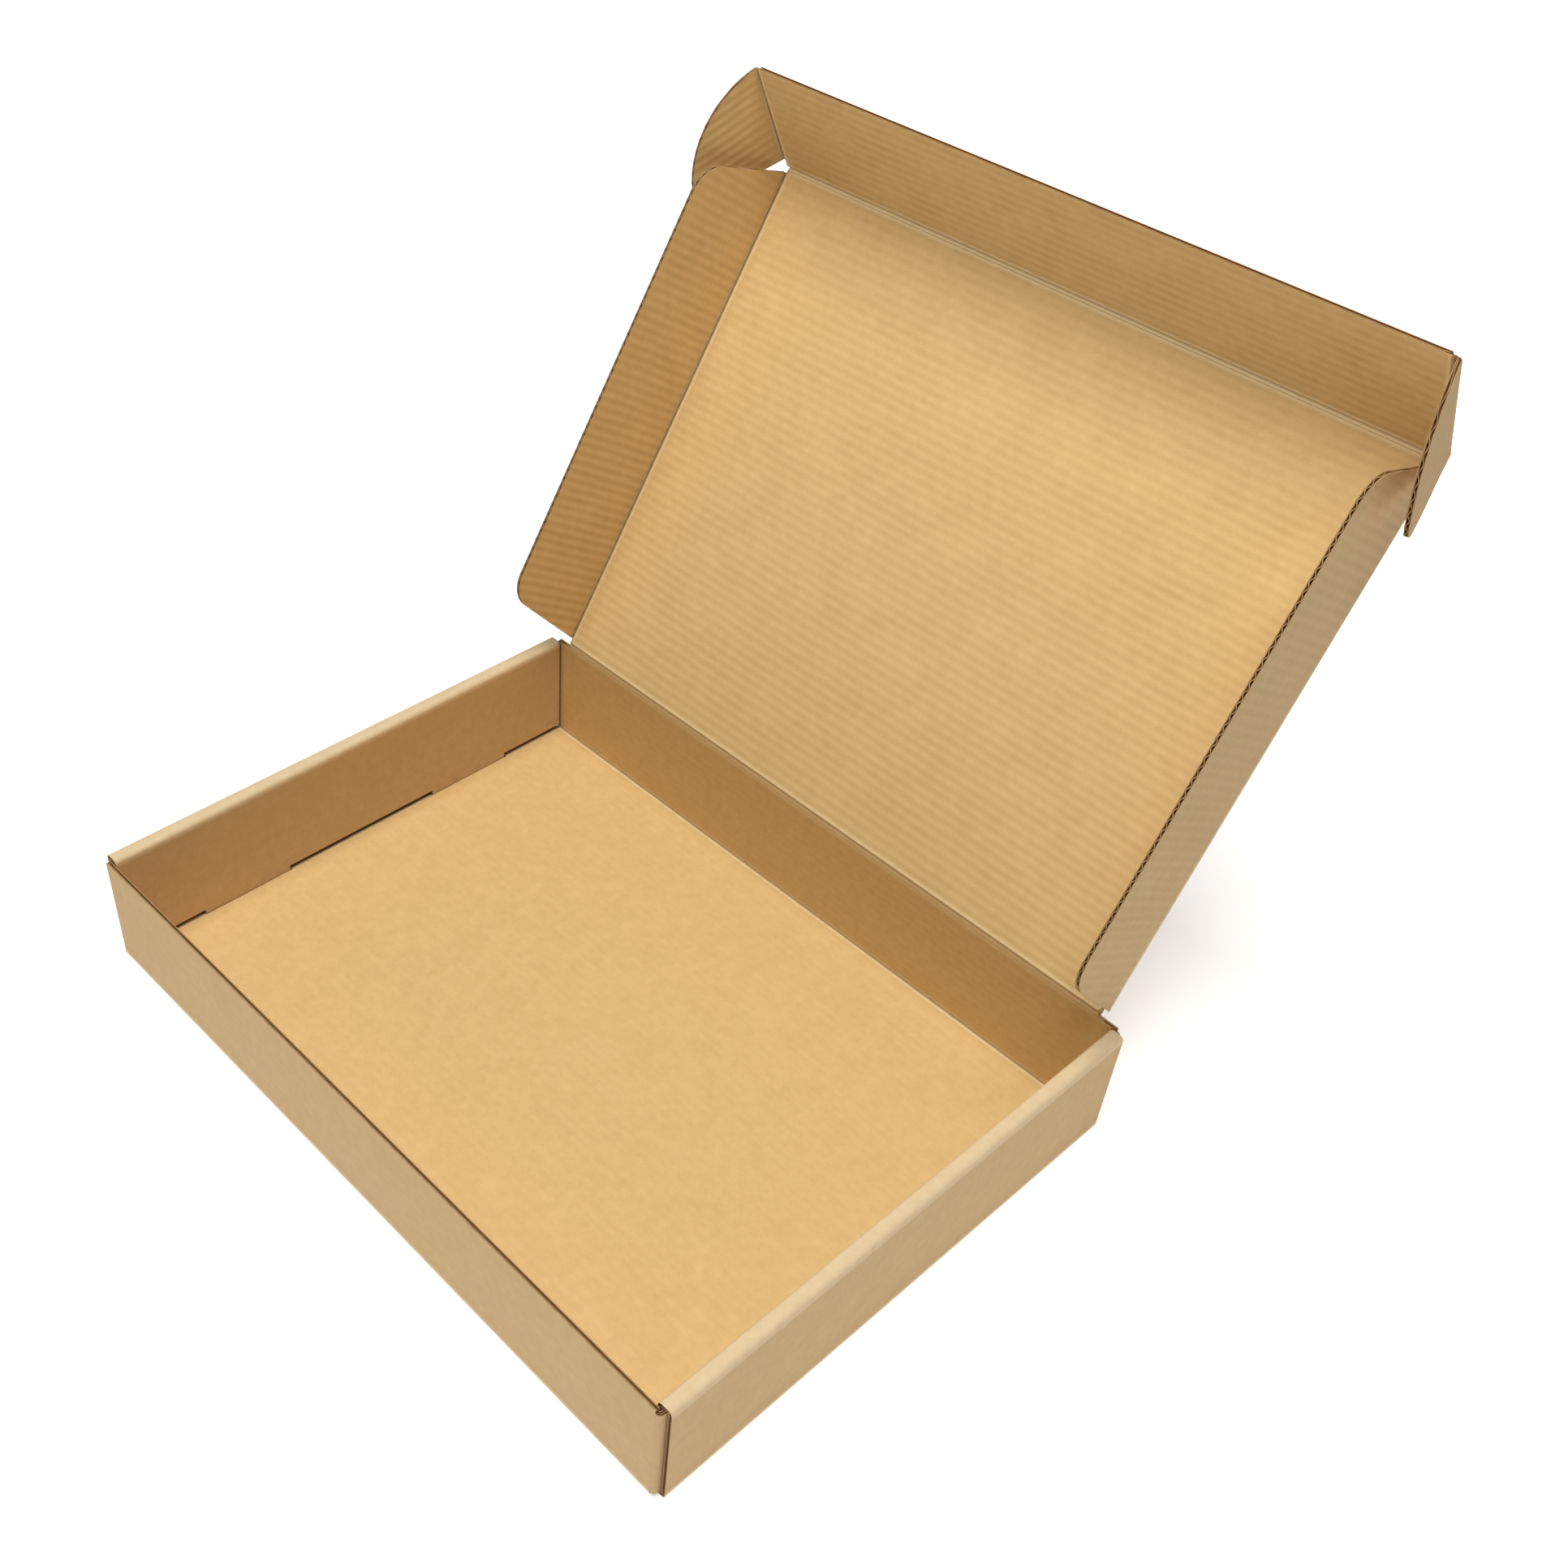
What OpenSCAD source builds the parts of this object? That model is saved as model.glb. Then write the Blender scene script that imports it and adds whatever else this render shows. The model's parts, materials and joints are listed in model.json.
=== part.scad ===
// Corrugated folding box: a mailer cut and folded from one sheet of corrugated board.
// Its side walls are rolled over on themselves and locked by tabs in the floor. The lid stands
// open, with two side flaps, a tuck flap for the front and an ear at each end of the tuck flap.
// X runs along the lid's hinge, Y from the front wall to the back wall, and Z up.
// The origin is the middle of the tray's underside. Lengths are in millimetres, angles in degrees.

/* [Board] */
// Thickness of the corrugated board
board_t = 1.5; // [1.2:0.1:1.8]
// Space between two layers of board that lie side by side in a rolled wall
layer_gap = 0.5; // [0.4:0.05:0.9]
// Radius on the inside of a folded edge
fold_inner_r = 0.3; // [0.1:0.1:0.6]
// Space across a crease between two panels that turn on each other
crease_gap = 0.4; // [0.3:0.05:0.6]

/* [Flutes] */
// Distance from one flute to the next
flute_pitch = 3.5; // [3:0.1:4.5]
// Thickness of each facing sheet
liner_t = 0.25; // [0.2:0.05:0.35]
// Thickness of the fluted sheet between the facing sheets
medium_t = 0.25; // [0.2:0.05:0.3]
// Width over which a flute's crest is glued to a facing sheet
glue_w = 0.8; // [0.6:0.1:1.2]
// Length over which a crease has pressed the flutes flat
flute_crush = 2; // [1:0.5:4]

/* [Tray] */
// Width over the rolled side walls
tray_w = 280; // [220:1:360]
// Depth over the front and back walls
tray_d = 202; // [160:1:300]
// Height of the rolled side walls
side_h = 45; // [35:1:80]
// How far the front wall stops below the side walls
front_drop = 0.4; // [0:0.1:1.5]
// How far the rolled side walls stop short of the tray's front and back faces
side_inset = 2.4; // [2.2:0.1:4]
// Length of the corner flaps that lie inside the rolled walls
corner_flap_len = 40; // [20:1:60]

/* [Tabs] */
// Length of each tab on a rolled wall's inner panel
tab_len = 36; // [20:1:44]
// Distance of each tab's middle from the middle of the wall
tab_offset = 51.5; // [30:0.5:54]
// Clearance at each end of a tab in its floor slot
tab_end_clear = 1; // [0.5:0.1:2]
// Clearance on each side of a tab in its floor slot
tab_side_clear = 0.25; // [0.2:0.05:0.4]
// Height of the inner panel's lower edge above the floor, away from its tabs
panel_lift = 2; // [0.6:0.1:3]
// How far a tab stops above the tray's underside
tab_lift = 0.2; // [0.1:0.1:0.6]

/* [Lid] */
// Angle of the lid above its shut position
lid_angle = 122; // [60:1:170]
// Height of the lid's hinge above the side walls
hinge_rise = 1.8; // [1.6:0.1:4]

/* [Side flaps] */
// Angle between each side flap and the plane of the opened-out lid
flap_angle = 90; // [90:0.5:100]
// Space under the side flaps when the lid is shut
flap_floor_gap = 3; // [2:0.5:10]
// Distance of a flap's root from each end of the lid
flap_end_gap = 0.9; // [0.6:0.1:4]
// Slant of the side flaps' ends
flap_end_slant = 15.5; // [10:0.5:30]
// Radius of the side flaps' free corners
flap_corner_r = 12.5; // [4:0.5:12.5]
// Space between a side flap and the ear that lies outside it when the lid is shut
flap_ear_gap = 0.4; // [0.3:0.05:1]
// Height of a side flap's turning line above the lid's inside
flap_axis_rise = 0.2; // [0.1:0.05:0.4]

/* [Tuck flap] */
// Angle between the tuck flap and the plane of the opened-out lid
tuck_angle = 59.5; // [30:0.5:95]
// Space between the tuck flap and the front wall when the lid is shut
tuck_front_gap = 5; // [3.5:0.25:8]
// Space under the tuck flap when the lid is shut
tuck_floor_gap = 2.7; // [2:0.1:10]

/* [Ears] */
// Angle between each ear and the plane of the opened-out tuck flap
ear_angle = 75; // [60:0.5:90]
// Reach of each ear from its fold
ear_reach = 36.2; // [34:0.2:50]
// Distance of an ear's root from the tuck flap's fold
ear_root_gap = 2; // [1.5:0.5:6]
// Slant of the ears' lower edge
ear_slant = 8; // [0:0.5:12]
// How far an ear's round edge starts below the tuck flap's free edge
ear_top_drop = 1; // [0.5:0.5:3]
// How much larger the round edge's radius is than the ear's reach
ear_round_extra = 0.8; // [0:0.1:3]
// Radius of an ear's small lower corner
ear_tip_r = 5; // [1:0.5:5]
// Space between an ear and the rolled wall beside it when the lid is shut
ear_wall_gap = 1.2; // [1.2:0.1:3]

/* [Hidden] */
$fn = 64;
// Overshoot of a cutting shape past the face it opens
over = 0.5;
kraft_outside = [0.77, 0.67, 0.52];
kraft_inside = [0.80, 0.66, 0.44];

// A crease is a rounded edge on each side of a narrow gap
edge_r = board_t / 2;
crease_pitch = board_t + crease_gap;
fold_r = board_t + fold_inner_r;

// Flutes: half of the space between the facing sheets, the wave's height and half of an opening's width
core_half = board_t / 2 - liner_t;
wave_height = core_half - medium_t / 2;
flute_half = (flute_pitch - glue_w) / 2;

// Tray: inner face of a rolled wall, outer face of a corner flap, and the heights that they share
roll_w = 3 * board_t + 2 * layer_gap;
roll_in = tray_w / 2 - roll_w;
side_len = tray_d - 2 * side_inset;
front_h = side_h - front_drop;
corner_x = tray_w / 2 - board_t - layer_gap;
corner_low = board_t + layer_gap;
corner_high = side_h - board_t - layer_gap;
wall_half = corner_x - fold_r;

// Lid: turning lines and edges, measured in the lid's own frame
hinge_y = tray_d / 2 - edge_r;
hinge_z = side_h + hinge_rise;
shut_depth = hinge_z - board_t;
ear_x = roll_in - ear_wall_gap - edge_r;
flap_out = ear_x - edge_r - flap_ear_gap;
flap_in = flap_out - board_t;
lid_half = flap_in - crease_gap;
tuck_s = hinge_y + tray_d / 2 - board_t - tuck_front_gap - edge_r;
lid_s = tuck_s - crease_pitch;
flap_start = edge_r + flap_end_gap;
flap_end = lid_s - flap_end_gap;
flap_len = shut_depth - flap_floor_gap;
flap_axis_z = edge_r + flap_axis_rise;
tuck_half = ear_x - crease_pitch;
tuck_len = shut_depth - tuck_floor_gap;
ear_tip = ear_root_gap + ear_reach * tan(ear_slant);
ear_top = tuck_len - ear_top_drop;
ear_round_r = ear_reach + ear_round_extra;

// Geometry of a rounded corner at point b, between its neighbours a and c
function unit(v) = v / norm(v);
function half_angle(a, b, c) = acos(unit(a - b) * unit(c - b)) / 2;
function tangent_len(a, b, c, r) = r / tan(half_angle(a, b, c));
function corner_points(a, b, c, r) =
    r > 0 ? [b + unit(a - b) * tangent_len(a, b, c, r), b + unit(c - b) * tangent_len(a, b, c, r)] : [b];
function corner_centre(a, b, c, r) = b + unit(unit(a - b) + unit(c - b)) * r / sin(half_angle(a, b, c));
function before(points, i) = points[(i + len(points) - 1) % len(points)];
function after(points, i) = points[(i + 1) % len(points)];

// Sector of a circle that fills the rounded corner at point b
module corner_arc(a, b, c, r) {
    centre = corner_centre(a, b, c, r);
    ends = corner_points(a, b, c, r);
    intersection() {
        translate(centre) circle(r = r);
        polygon([centre, ends[0], b, ends[1]]);
    }
}

// Outline with a true arc at each corner that has a radius
module rounded_outline(points, radii) {
    last = len(points) - 1;
    polygon([for (i = [0 : last])
        each corner_points(before(points, i), points[i], after(points, i), radii[i])]);
    for (i = [0 : last])
        if (radii[i] > 0)
            corner_arc(before(points, i), points[i], after(points, i), radii[i]);
}

// Box outline between two corners, with a radius at each corner from the lower left round
module round_box(low, high, radii) {
    rounded_outline([low, [high[0], low[1]], high, [low[0], high[1]]], radii);
}

// Rounded edge of a panel along X or along Y, centred on the given line
module edge_along_x(half, y) {
    translate([0, y, 0]) rotate([0, 90, 0]) cylinder(r = edge_r, h = 2 * half, center = true);
}

module edge_along_y(x, start, end) {
    translate([x, start, 0]) rotate([-90, 0, 0]) cylinder(r = edge_r, h = end - start);
}

// Both sides of something that is drawn for the right
module both_sides() {
    children();
    mirror([1, 0, 0]) children();
}

// Opening of a flute under the fluted sheet's crest, measured along the board and through it
module flute_opening() {
    crest_half = flute_half / 4;
    function under_wave(v) = [v, wave_height * cos(360 * v / flute_pitch) - medium_t / 2];
    polygon([[-flute_half, -core_half], [flute_half, -core_half],
        for (v = [flute_half, crest_half, -crest_half, -flute_half]) under_wave(v)]);
}

// Row of flutes from one place on the board to another, each open on both sides of the fluted sheet
module flute_row(start, end, length) {
    count = floor((end - start) / flute_pitch);
    first = (start + end - (count - 1) * flute_pitch) / 2;
    linear_extrude(length) for (i = [0 : count - 1]) translate([first + i * flute_pitch, 0]) {
        translate([-flute_pitch / 4, 0]) flute_opening();
        translate([flute_pitch / 4, 0]) mirror([0, 1]) flute_opening();
    }
}

// Section of a rolled side wall: up outside, over the top and down inside to just above the floor
module roll_profile() {
    difference() {
        round_box([roll_in, 0], [tray_w / 2, side_h], [0, fold_r, fold_r, fold_r]);
        round_box([roll_in + board_t, board_t], [tray_w / 2 - board_t, side_h - board_t],
            [0, fold_inner_r, fold_inner_r, fold_inner_r]);
        translate([roll_in - over, board_t]) square([board_t + 2 * over, panel_lift]);
    }
}

module rolled_wall() {
    rotate([90, 0, 0]) linear_extrude(side_len, center = true) roll_profile();
}

// Places of the two tabs along a rolled wall
module at_tabs() {
    for (y = [-tab_offset, tab_offset]) translate([roll_in, y, 0]) children();
}

module tab() {
    translate([0, -tab_len / 2, tab_lift]) cube([board_t, tab_len, board_t + panel_lift + over - tab_lift]);
}

module tab_slot() {
    slot_len = tab_len + 2 * tab_end_clear;
    translate([-tab_side_clear, -slot_len / 2, -over])
        cube([board_t + 2 * tab_side_clear, slot_len, board_t + over + panel_lift / 2]);
}

// Section of a front or back wall with the fold at its foot, measured inwards from its outer face
module wall_profile(height) {
    difference() {
        round_box([0, 0], [2 * fold_r, height], [fold_r, 0, 0, 0]);
        round_box([board_t, board_t], [2 * fold_r + over, height + over], [fold_inner_r, 0, 0, 0]);
    }
}

module front_wall(height, half) {
    translate([0, -tray_d / 2, 0]) rotate([90, 0, 90])
        linear_extrude(2 * half, center = true) wall_profile(height);
}

// Corner flap: the front wall's end turned back into the space inside the rolled wall
module corner_flap() {
    front = -tray_d / 2;
    root = wall_half - fold_r;
    translate([0, 0, corner_low]) linear_extrude(corner_high - corner_low) difference() {
        round_box([root, front], [corner_x, front + corner_flap_len], [0, fold_r, 0, 0]);
        round_box([root - over, front + board_t], [corner_x - board_t, front + corner_flap_len + over],
            [0, fold_inner_r, 0, 0]);
    }
}

// Front wall and its corner flaps, also used for the back wall
module folded_front() {
    front_wall(front_h, wall_half);
    both_sides() corner_flap();
}

// Back wall's raised middle, which ends in the crease below the lid
module hinge_strip() {
    crest = hinge_z - crease_pitch;
    translate([0, hinge_y, crest]) edge_along_x(flap_out, 0);
    translate([-flap_out, tray_d / 2 - board_t, front_h - over])
        cube([2 * flap_out, board_t, crest - front_h + over]);
}

module tray() {
    color(kraft_outside) {
        difference() {
            union() {
                translate([-roll_in - over, fold_r - tray_d / 2, 0])
                    cube([2 * (roll_in + over), tray_d - 2 * fold_r, board_t]);
                both_sides() rolled_wall();
                folded_front();
                mirror([0, 1, 0]) folded_front();
                hinge_strip();
            }
            both_sides() at_tabs() tab_slot();
        }
        both_sides() at_tabs() tab();
    }
}

// Frame of the lid: Y runs from the hinge to the tuck flap, and Z points to the box's inside
module in_lid() {
    translate([0, hinge_y, hinge_z]) rotate([180 - lid_angle, 0, 0]) children();
}

// Frame of the tuck flap: Y runs from its fold to its free edge
module in_tuck() {
    in_lid() translate([0, tuck_s, 0]) rotate([tuck_angle, 0, 0]) children();
}

module lid_panel() {
    color(kraft_inside) in_lid() {
        translate([-lid_half, 0, -edge_r]) cube([2 * lid_half, lid_s, board_t]);
        edge_along_x(lid_half, 0);
        edge_along_x(lid_half, lid_s);
    }
}

// Side flap on the right of the lid, with slanted ends and rounded free corners
module side_flap() {
    inset = flap_len * tan(flap_end_slant);
    outline = [[flap_start, 0], [flap_end, 0],
        [flap_end - inset, flap_len], [flap_start + inset, flap_len]];
    translate([flap_in, 0, flap_axis_z]) rotate([0, 90 - flap_angle, 0]) translate([0, 0, -flap_axis_z]) {
        difference() {
            rotate([90, 0, 90]) linear_extrude(board_t)
                rounded_outline(outline, [0, 0, flap_corner_r, flap_corner_r]);
            translate([edge_r, 0, flute_crush]) rotate([0, 0, 90])
                flute_row(flap_start + flute_crush, flap_end - flute_crush, flap_len);
        }
        edge_along_y(edge_r, flap_start, flap_end);
    }
}

module side_flap_right() {
    color(kraft_outside) in_lid() side_flap();
}

module side_flap_left() {
    color(kraft_inside) in_lid() mirror([1, 0, 0]) side_flap();
}

module tuck_flap() {
    color(kraft_inside) in_tuck() {
        translate([-tuck_half, 0, -edge_r]) cube([2 * tuck_half, tuck_len, board_t]);
        edge_along_x(tuck_half, 0);
        both_sides() edge_along_y(tuck_half, 0, tuck_len);
    }
}

// Outline of an ear: a straight lower edge, a small round tip and one wide round edge up to the fold
module ear_outline() {
    intersection() {
        rounded_outline([[0, ear_root_gap], [ear_reach, ear_tip], [ear_reach, ear_top], [0, ear_top]],
            [0, ear_tip_r, 0, 0]);
        translate([0, ear_top - ear_round_r]) circle(r = ear_round_r);
    }
}

// Ear on the right of the tuck flap
module ear() {
    translate([ear_x, 0, 0]) rotate([0, -ear_angle, 0]) {
        difference() {
            linear_extrude(board_t, center = true) ear_outline();
            translate([flute_crush, 0, 0]) rotate([90, 0, 90])
                flute_row(ear_tip, ear_top - flute_pitch, ear_reach);
        }
        edge_along_y(0, ear_root_gap, ear_top);
    }
}

module ear_right() {
    color(kraft_outside) in_tuck() ear();
}

module ear_left() {
    color(kraft_inside) in_tuck() mirror([1, 0, 0]) ear();
}

tray();
lid_panel();
side_flap_left();
side_flap_right();
tuck_flap();
ear_left();
ear_right();
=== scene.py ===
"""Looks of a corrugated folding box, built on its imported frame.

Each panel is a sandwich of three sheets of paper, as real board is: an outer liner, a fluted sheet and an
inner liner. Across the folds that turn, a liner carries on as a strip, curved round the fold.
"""

import json
import logging
import math
from collections.abc import Callable, Sequence
from dataclasses import dataclass, replace
from enum import Enum

import bpy
import numpy as np
from mathutils import Color, Matrix


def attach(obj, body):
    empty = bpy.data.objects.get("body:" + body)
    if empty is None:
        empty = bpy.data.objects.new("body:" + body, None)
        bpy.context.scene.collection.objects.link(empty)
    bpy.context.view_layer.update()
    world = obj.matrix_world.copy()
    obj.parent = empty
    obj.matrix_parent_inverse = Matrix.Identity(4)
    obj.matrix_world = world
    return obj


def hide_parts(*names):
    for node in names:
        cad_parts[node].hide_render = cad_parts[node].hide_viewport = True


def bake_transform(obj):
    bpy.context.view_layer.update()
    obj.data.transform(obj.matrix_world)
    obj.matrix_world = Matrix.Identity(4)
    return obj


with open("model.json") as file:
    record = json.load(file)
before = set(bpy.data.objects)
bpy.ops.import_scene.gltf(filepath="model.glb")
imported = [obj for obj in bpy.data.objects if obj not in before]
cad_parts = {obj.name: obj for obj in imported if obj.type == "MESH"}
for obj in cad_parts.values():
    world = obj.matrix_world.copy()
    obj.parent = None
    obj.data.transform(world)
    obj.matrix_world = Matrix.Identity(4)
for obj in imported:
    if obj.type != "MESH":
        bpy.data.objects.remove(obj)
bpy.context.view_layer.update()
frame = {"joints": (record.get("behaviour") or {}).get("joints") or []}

LOG = logging.getLogger("folding_box")
MM = 0.001
PHOTO_PX = 1932
SEED = 7
NOISE_MIDDLE = 0.5
SCREEN_WHITE = 255
RIGHT_ANGLE = 90

Rgb = tuple[int, int, int]
Keep = Callable[[np.ndarray], np.ndarray]


class Layer(Enum):
    """The three sheets of a board, by the ending of their pieces' names."""

    OUTER = "outer_liner"
    FLUTES = "flutes"
    INNER = "inner_liner"


class Flutes(Enum):
    """Which way the flutes run in a stretch of board."""

    ALONG_SWEEP = "along the sweep"
    ALONG_SECTION = "along the section"


@dataclass(frozen=True)
class BoxSizes:
    """Sizes of the box in metres and degrees, as the part's source has them."""

    board_t: float = 1.5 * MM
    layer_gap: float = 0.5 * MM
    fold_inner_r: float = 0.3 * MM
    crease_gap: float = 0.4 * MM
    flute_pitch: float = 3.5 * MM
    liner_t: float = 0.25 * MM
    medium_t: float = 0.25 * MM
    flute_crush: float = 2.0 * MM
    tray_w: float = 280 * MM
    tray_d: float = 202 * MM
    side_h: float = 45 * MM
    front_drop: float = 0.4 * MM
    side_inset: float = 2.4 * MM
    corner_flap_len: float = 40 * MM
    tab_len: float = 36 * MM
    tab_offset: float = 51.5 * MM
    tab_end_clear: float = 1.0 * MM
    tab_side_clear: float = 0.25 * MM
    panel_lift: float = 2.0 * MM
    tab_lift: float = 0.2 * MM
    hinge_rise: float = 1.8 * MM
    flap_floor_gap: float = 3.0 * MM
    flap_end_gap: float = 0.9 * MM
    flap_end_slant: float = 15.5
    flap_corner_r: float = 12.5 * MM
    flap_ear_gap: float = 0.4 * MM
    tuck_front_gap: float = 5.0 * MM
    tuck_floor_gap: float = 2.7 * MM
    ear_angle: float = 75
    ear_reach: float = 36.2 * MM
    ear_root_gap: float = 2.0 * MM
    ear_slant: float = 8
    ear_top_drop: float = 1.0 * MM
    ear_round_extra: float = 0.8 * MM
    ear_tip_r: float = 5 * MM
    ear_wall_gap: float = 1.2 * MM
    washboard: float = 0.045 * MM

    @property
    def edge_r(self) -> float:
        """Half of the board's thickness, which rounds a creased edge."""
        return self.board_t / 2

    @property
    def fold_mid_r(self) -> float:
        """Radius of a fold in the middle of the board."""
        return self.fold_inner_r + self.edge_r

    @property
    def fold_r(self) -> float:
        """Radius of a fold on the outside of the board."""
        return self.fold_inner_r + self.board_t

    @property
    def crease_pitch(self) -> float:
        """Distance between the two rounded edges at a turning crease."""
        return self.board_t + self.crease_gap

    @property
    def liner_lift(self) -> float:
        """Distance of a liner's middle from the middle of the board."""
        return (self.board_t - self.liner_t) / 2

    @property
    def wave_height(self) -> float:
        """Height of the fluted sheet's wave on each side of the middle."""
        return self.board_t / 2 - self.liner_t - self.medium_t / 2

    @property
    def roll_in(self) -> float:
        """Distance of a rolled wall's inner face from the middle of the box."""
        return self.tray_w / 2 - 3 * self.board_t - 2 * self.layer_gap

    @property
    def side_half(self) -> float:
        """Half of a rolled wall's length."""
        return self.tray_d / 2 - self.side_inset

    @property
    def front_h(self) -> float:
        """Height of the front wall."""
        return self.side_h - self.front_drop

    @property
    def corner_x(self) -> float:
        """Distance of a corner flap's outer face from the middle of the box."""
        return self.tray_w / 2 - self.board_t - self.layer_gap

    @property
    def wall_half(self) -> float:
        """Half of the front wall's flat width."""
        return self.corner_x - self.fold_r

    @property
    def hinge_z(self) -> float:
        """Height of the lid's hinge."""
        return self.side_h + self.hinge_rise

    @property
    def shut_depth(self) -> float:
        """Depth under the hinge line when the lid is shut."""
        return self.hinge_z - self.board_t

    @property
    def ear_x(self) -> float:
        """Distance of an ear's fold from the middle of the box."""
        return self.roll_in - self.ear_wall_gap - self.edge_r

    @property
    def flap_out(self) -> float:
        """Distance of a side flap's outer face from the middle of the box."""
        return self.ear_x - self.edge_r - self.flap_ear_gap

    @property
    def lid_half(self) -> float:
        """Half of the lid panel's width."""
        return self.flap_out - self.board_t - self.crease_gap

    @property
    def tuck_half(self) -> float:
        """Half of the tuck flap's width, to the middle of its rounded ends."""
        return self.ear_x - self.crease_pitch

    @property
    def lid_len(self) -> float:
        """Length of the lid panel from the hinge to its front crease."""
        return self.tray_d - 2 * self.board_t - self.tuck_front_gap - self.crease_pitch

    @property
    def flap_len(self) -> float:
        """Reach of a side flap."""
        return self.shut_depth - self.flap_floor_gap

    @property
    def tuck_len(self) -> float:
        """Reach of the tuck flap."""
        return self.shut_depth - self.tuck_floor_gap

    @property
    def ear_top(self) -> float:
        """Distance of an ear's upper end from the tuck flap's fold."""
        return self.tuck_len - self.ear_top_drop


@dataclass(frozen=True)
class Axes:
    """Frame of a stretch of board, which is swept one way and has its section in the other two."""

    origin: np.ndarray
    sweep: np.ndarray
    out: np.ndarray
    inside: np.ndarray

    def at(self, sweep: float, out: float, inside: float) -> np.ndarray:
        """Point at the given distances along the three directions."""
        return self.origin + sweep * self.sweep + out * self.out + inside * self.inside


@dataclass(frozen=True)
class PanelEnd:
    """End of a flap: a slanted edge that runs into the free edge round a corner."""

    slant: float
    corner_r: float

    def reach(self, distance: float, length: float) -> float:
        """How far the flap reaches at a distance in from this end of its root.

        Args:
            distance: distance from the end of the root, along the root.
            length: reach of the flap away from its ends.

        Returns:
            The reach at that distance.
        """
        slant = math.radians(self.slant)
        straight = length - self.corner_r
        corner = straight * math.tan(slant) + self.corner_r / math.cos(slant)
        if distance >= corner:
            return length
        if distance >= corner - self.corner_r * math.cos(slant):
            return straight + math.sqrt(max(0.0, self.corner_r**2 - (corner - distance) ** 2))
        return distance / math.tan(slant)


@dataclass(frozen=True)
class RoundEnd:
    """End of a flap whose free edge curves back to its root in one wide arc."""

    radius: float

    def reach(self, distance: float, length: float) -> float:
        """How far the flap reaches at a distance in from this end of its root.

        Args:
            distance: distance from the end of the root, along the root.
            length: reach of the flap away from its ends.

        Returns:
            The reach at that distance.
        """
        if distance >= self.radius:
            return length
        return min(length, math.sqrt(max(0.0, self.radius**2 - (self.radius - distance) ** 2)))


class Track:
    """Line through the middle of a board's section, drawn as a pen moves, with folds to the left.

    The box's inside lies on the left of the line.
    """

    FOLD_STEPS = 6
    NOSE_STEPS = 5

    def __init__(self, start: tuple[float, float], heading: float, step: float, crush: float) -> None:
        """Puts the pen down.

        Args:
            start: first point in the section.
            heading: direction of the pen in degrees.
            step: distance between samples on a straight.
            crush: length on each side of a fold over which the flutes are pressed flat.
        """
        self.step = step
        self.crush = crush
        self.heading = math.radians(heading)
        self.run = 0.0
        self.points = [np.array(start, float)]
        self.angles = [self.heading]
        self.runs = [0.0]
        self.folds: list[tuple[float, float]] = []

    def straight(self, length: float) -> "Track":
        """Draws a straight of the given length, with samples close to its ends.

        Args:
            length: length of the straight.

        Returns:
            The track itself.
        """
        count = max(1, round(length / self.step))
        marks = set(np.linspace(0, length, count + 1)[1:])
        if length > 2 * self.crush:
            marks |= {self.crush / 2, self.crush, length - self.crush, length - self.crush / 2}
        ahead = np.array([math.cos(self.heading), math.sin(self.heading)])
        start = self.points[-1]
        for mark in sorted(marks):
            self.points.append(start + ahead * mark)
            self.angles.append(self.heading)
            self.runs.append(self.run + mark)
        self.run += length
        return self

    def fold(self, radius: float, turn: float = RIGHT_ANGLE, worn_with_painted_light: bool = True) -> "Track":
        """Draws a fold to the left.

        Args:
            radius: radius in the middle of the board.
            turn: angle of the fold in degrees.
            worn_with_painted_light: whether the fold has marked the paper: paler on its ridge where the fold
                stretches the paper, partly a painted highlight, and darker in its valley as painted shade.

        Returns:
            The track itself.
        """
        first = self.heading
        left = np.array([-math.sin(first), math.cos(first)])
        centre = self.points[-1] + radius * left
        length = radius * math.radians(turn)
        for share in np.linspace(0, 1, self.FOLD_STEPS + 1)[1:]:
            angle = first + math.radians(turn) * share
            self.points.append(centre + radius * np.array([math.sin(angle), -math.cos(angle)]))
            self.angles.append(angle)
            self.runs.append(self.run + length * share)
        if worn_with_painted_light:
            self.folds.append((self.run, self.run + length))
        self.run += length
        self.heading = first + math.radians(turn)
        return self

    def creased_here(self) -> "Track":
        """Marks a turning crease at the pen."""
        self.folds.append((self.run, self.run))
        return self

    def nose(self, at_start: bool) -> "Track":
        """Rounds an end over from the inside, as a liner does where it dips into a crease.

        Args:
            at_start: whether it is the start of the line, and not its end.

        Returns:
            The track itself.
        """
        tilts = np.linspace(0, math.pi / 2, self.NOSE_STEPS + 1)[1:]
        index = 0 if at_start else len(self.points) - 1
        point, angle, run = self.points[index], self.angles[index], self.runs[index]
        turned = [angle + tilt for tilt in tilts] if at_start else [angle - tilt for tilt in tilts]
        if at_start:
            self.points[:0] = [point] * len(tilts)
            self.angles[:0] = turned[::-1]
            self.runs[:0] = [run] * len(tilts)
        else:
            self.points += [point] * len(tilts)
            self.angles += turned
            self.runs += [run] * len(tilts)
        return self

    def creases(self) -> np.ndarray:
        """How near each sample is to a fold, from 0, away from all, to 1, on one.

        Returns:
            The nearness at each sample.
        """
        runs = np.array(self.runs)
        near = np.zeros(len(runs))
        for low, high in self.folds:
            gap = np.maximum(np.maximum(low - runs, runs - high), 0)
            near = np.maximum(near, 1 - gap / self.crush)
        return near

    def facings(self) -> np.ndarray:
        """Direction to the inside at each sample."""
        angles = np.array(self.angles)
        return np.stack([-np.sin(angles), np.cos(angles)], axis=1)


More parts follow.
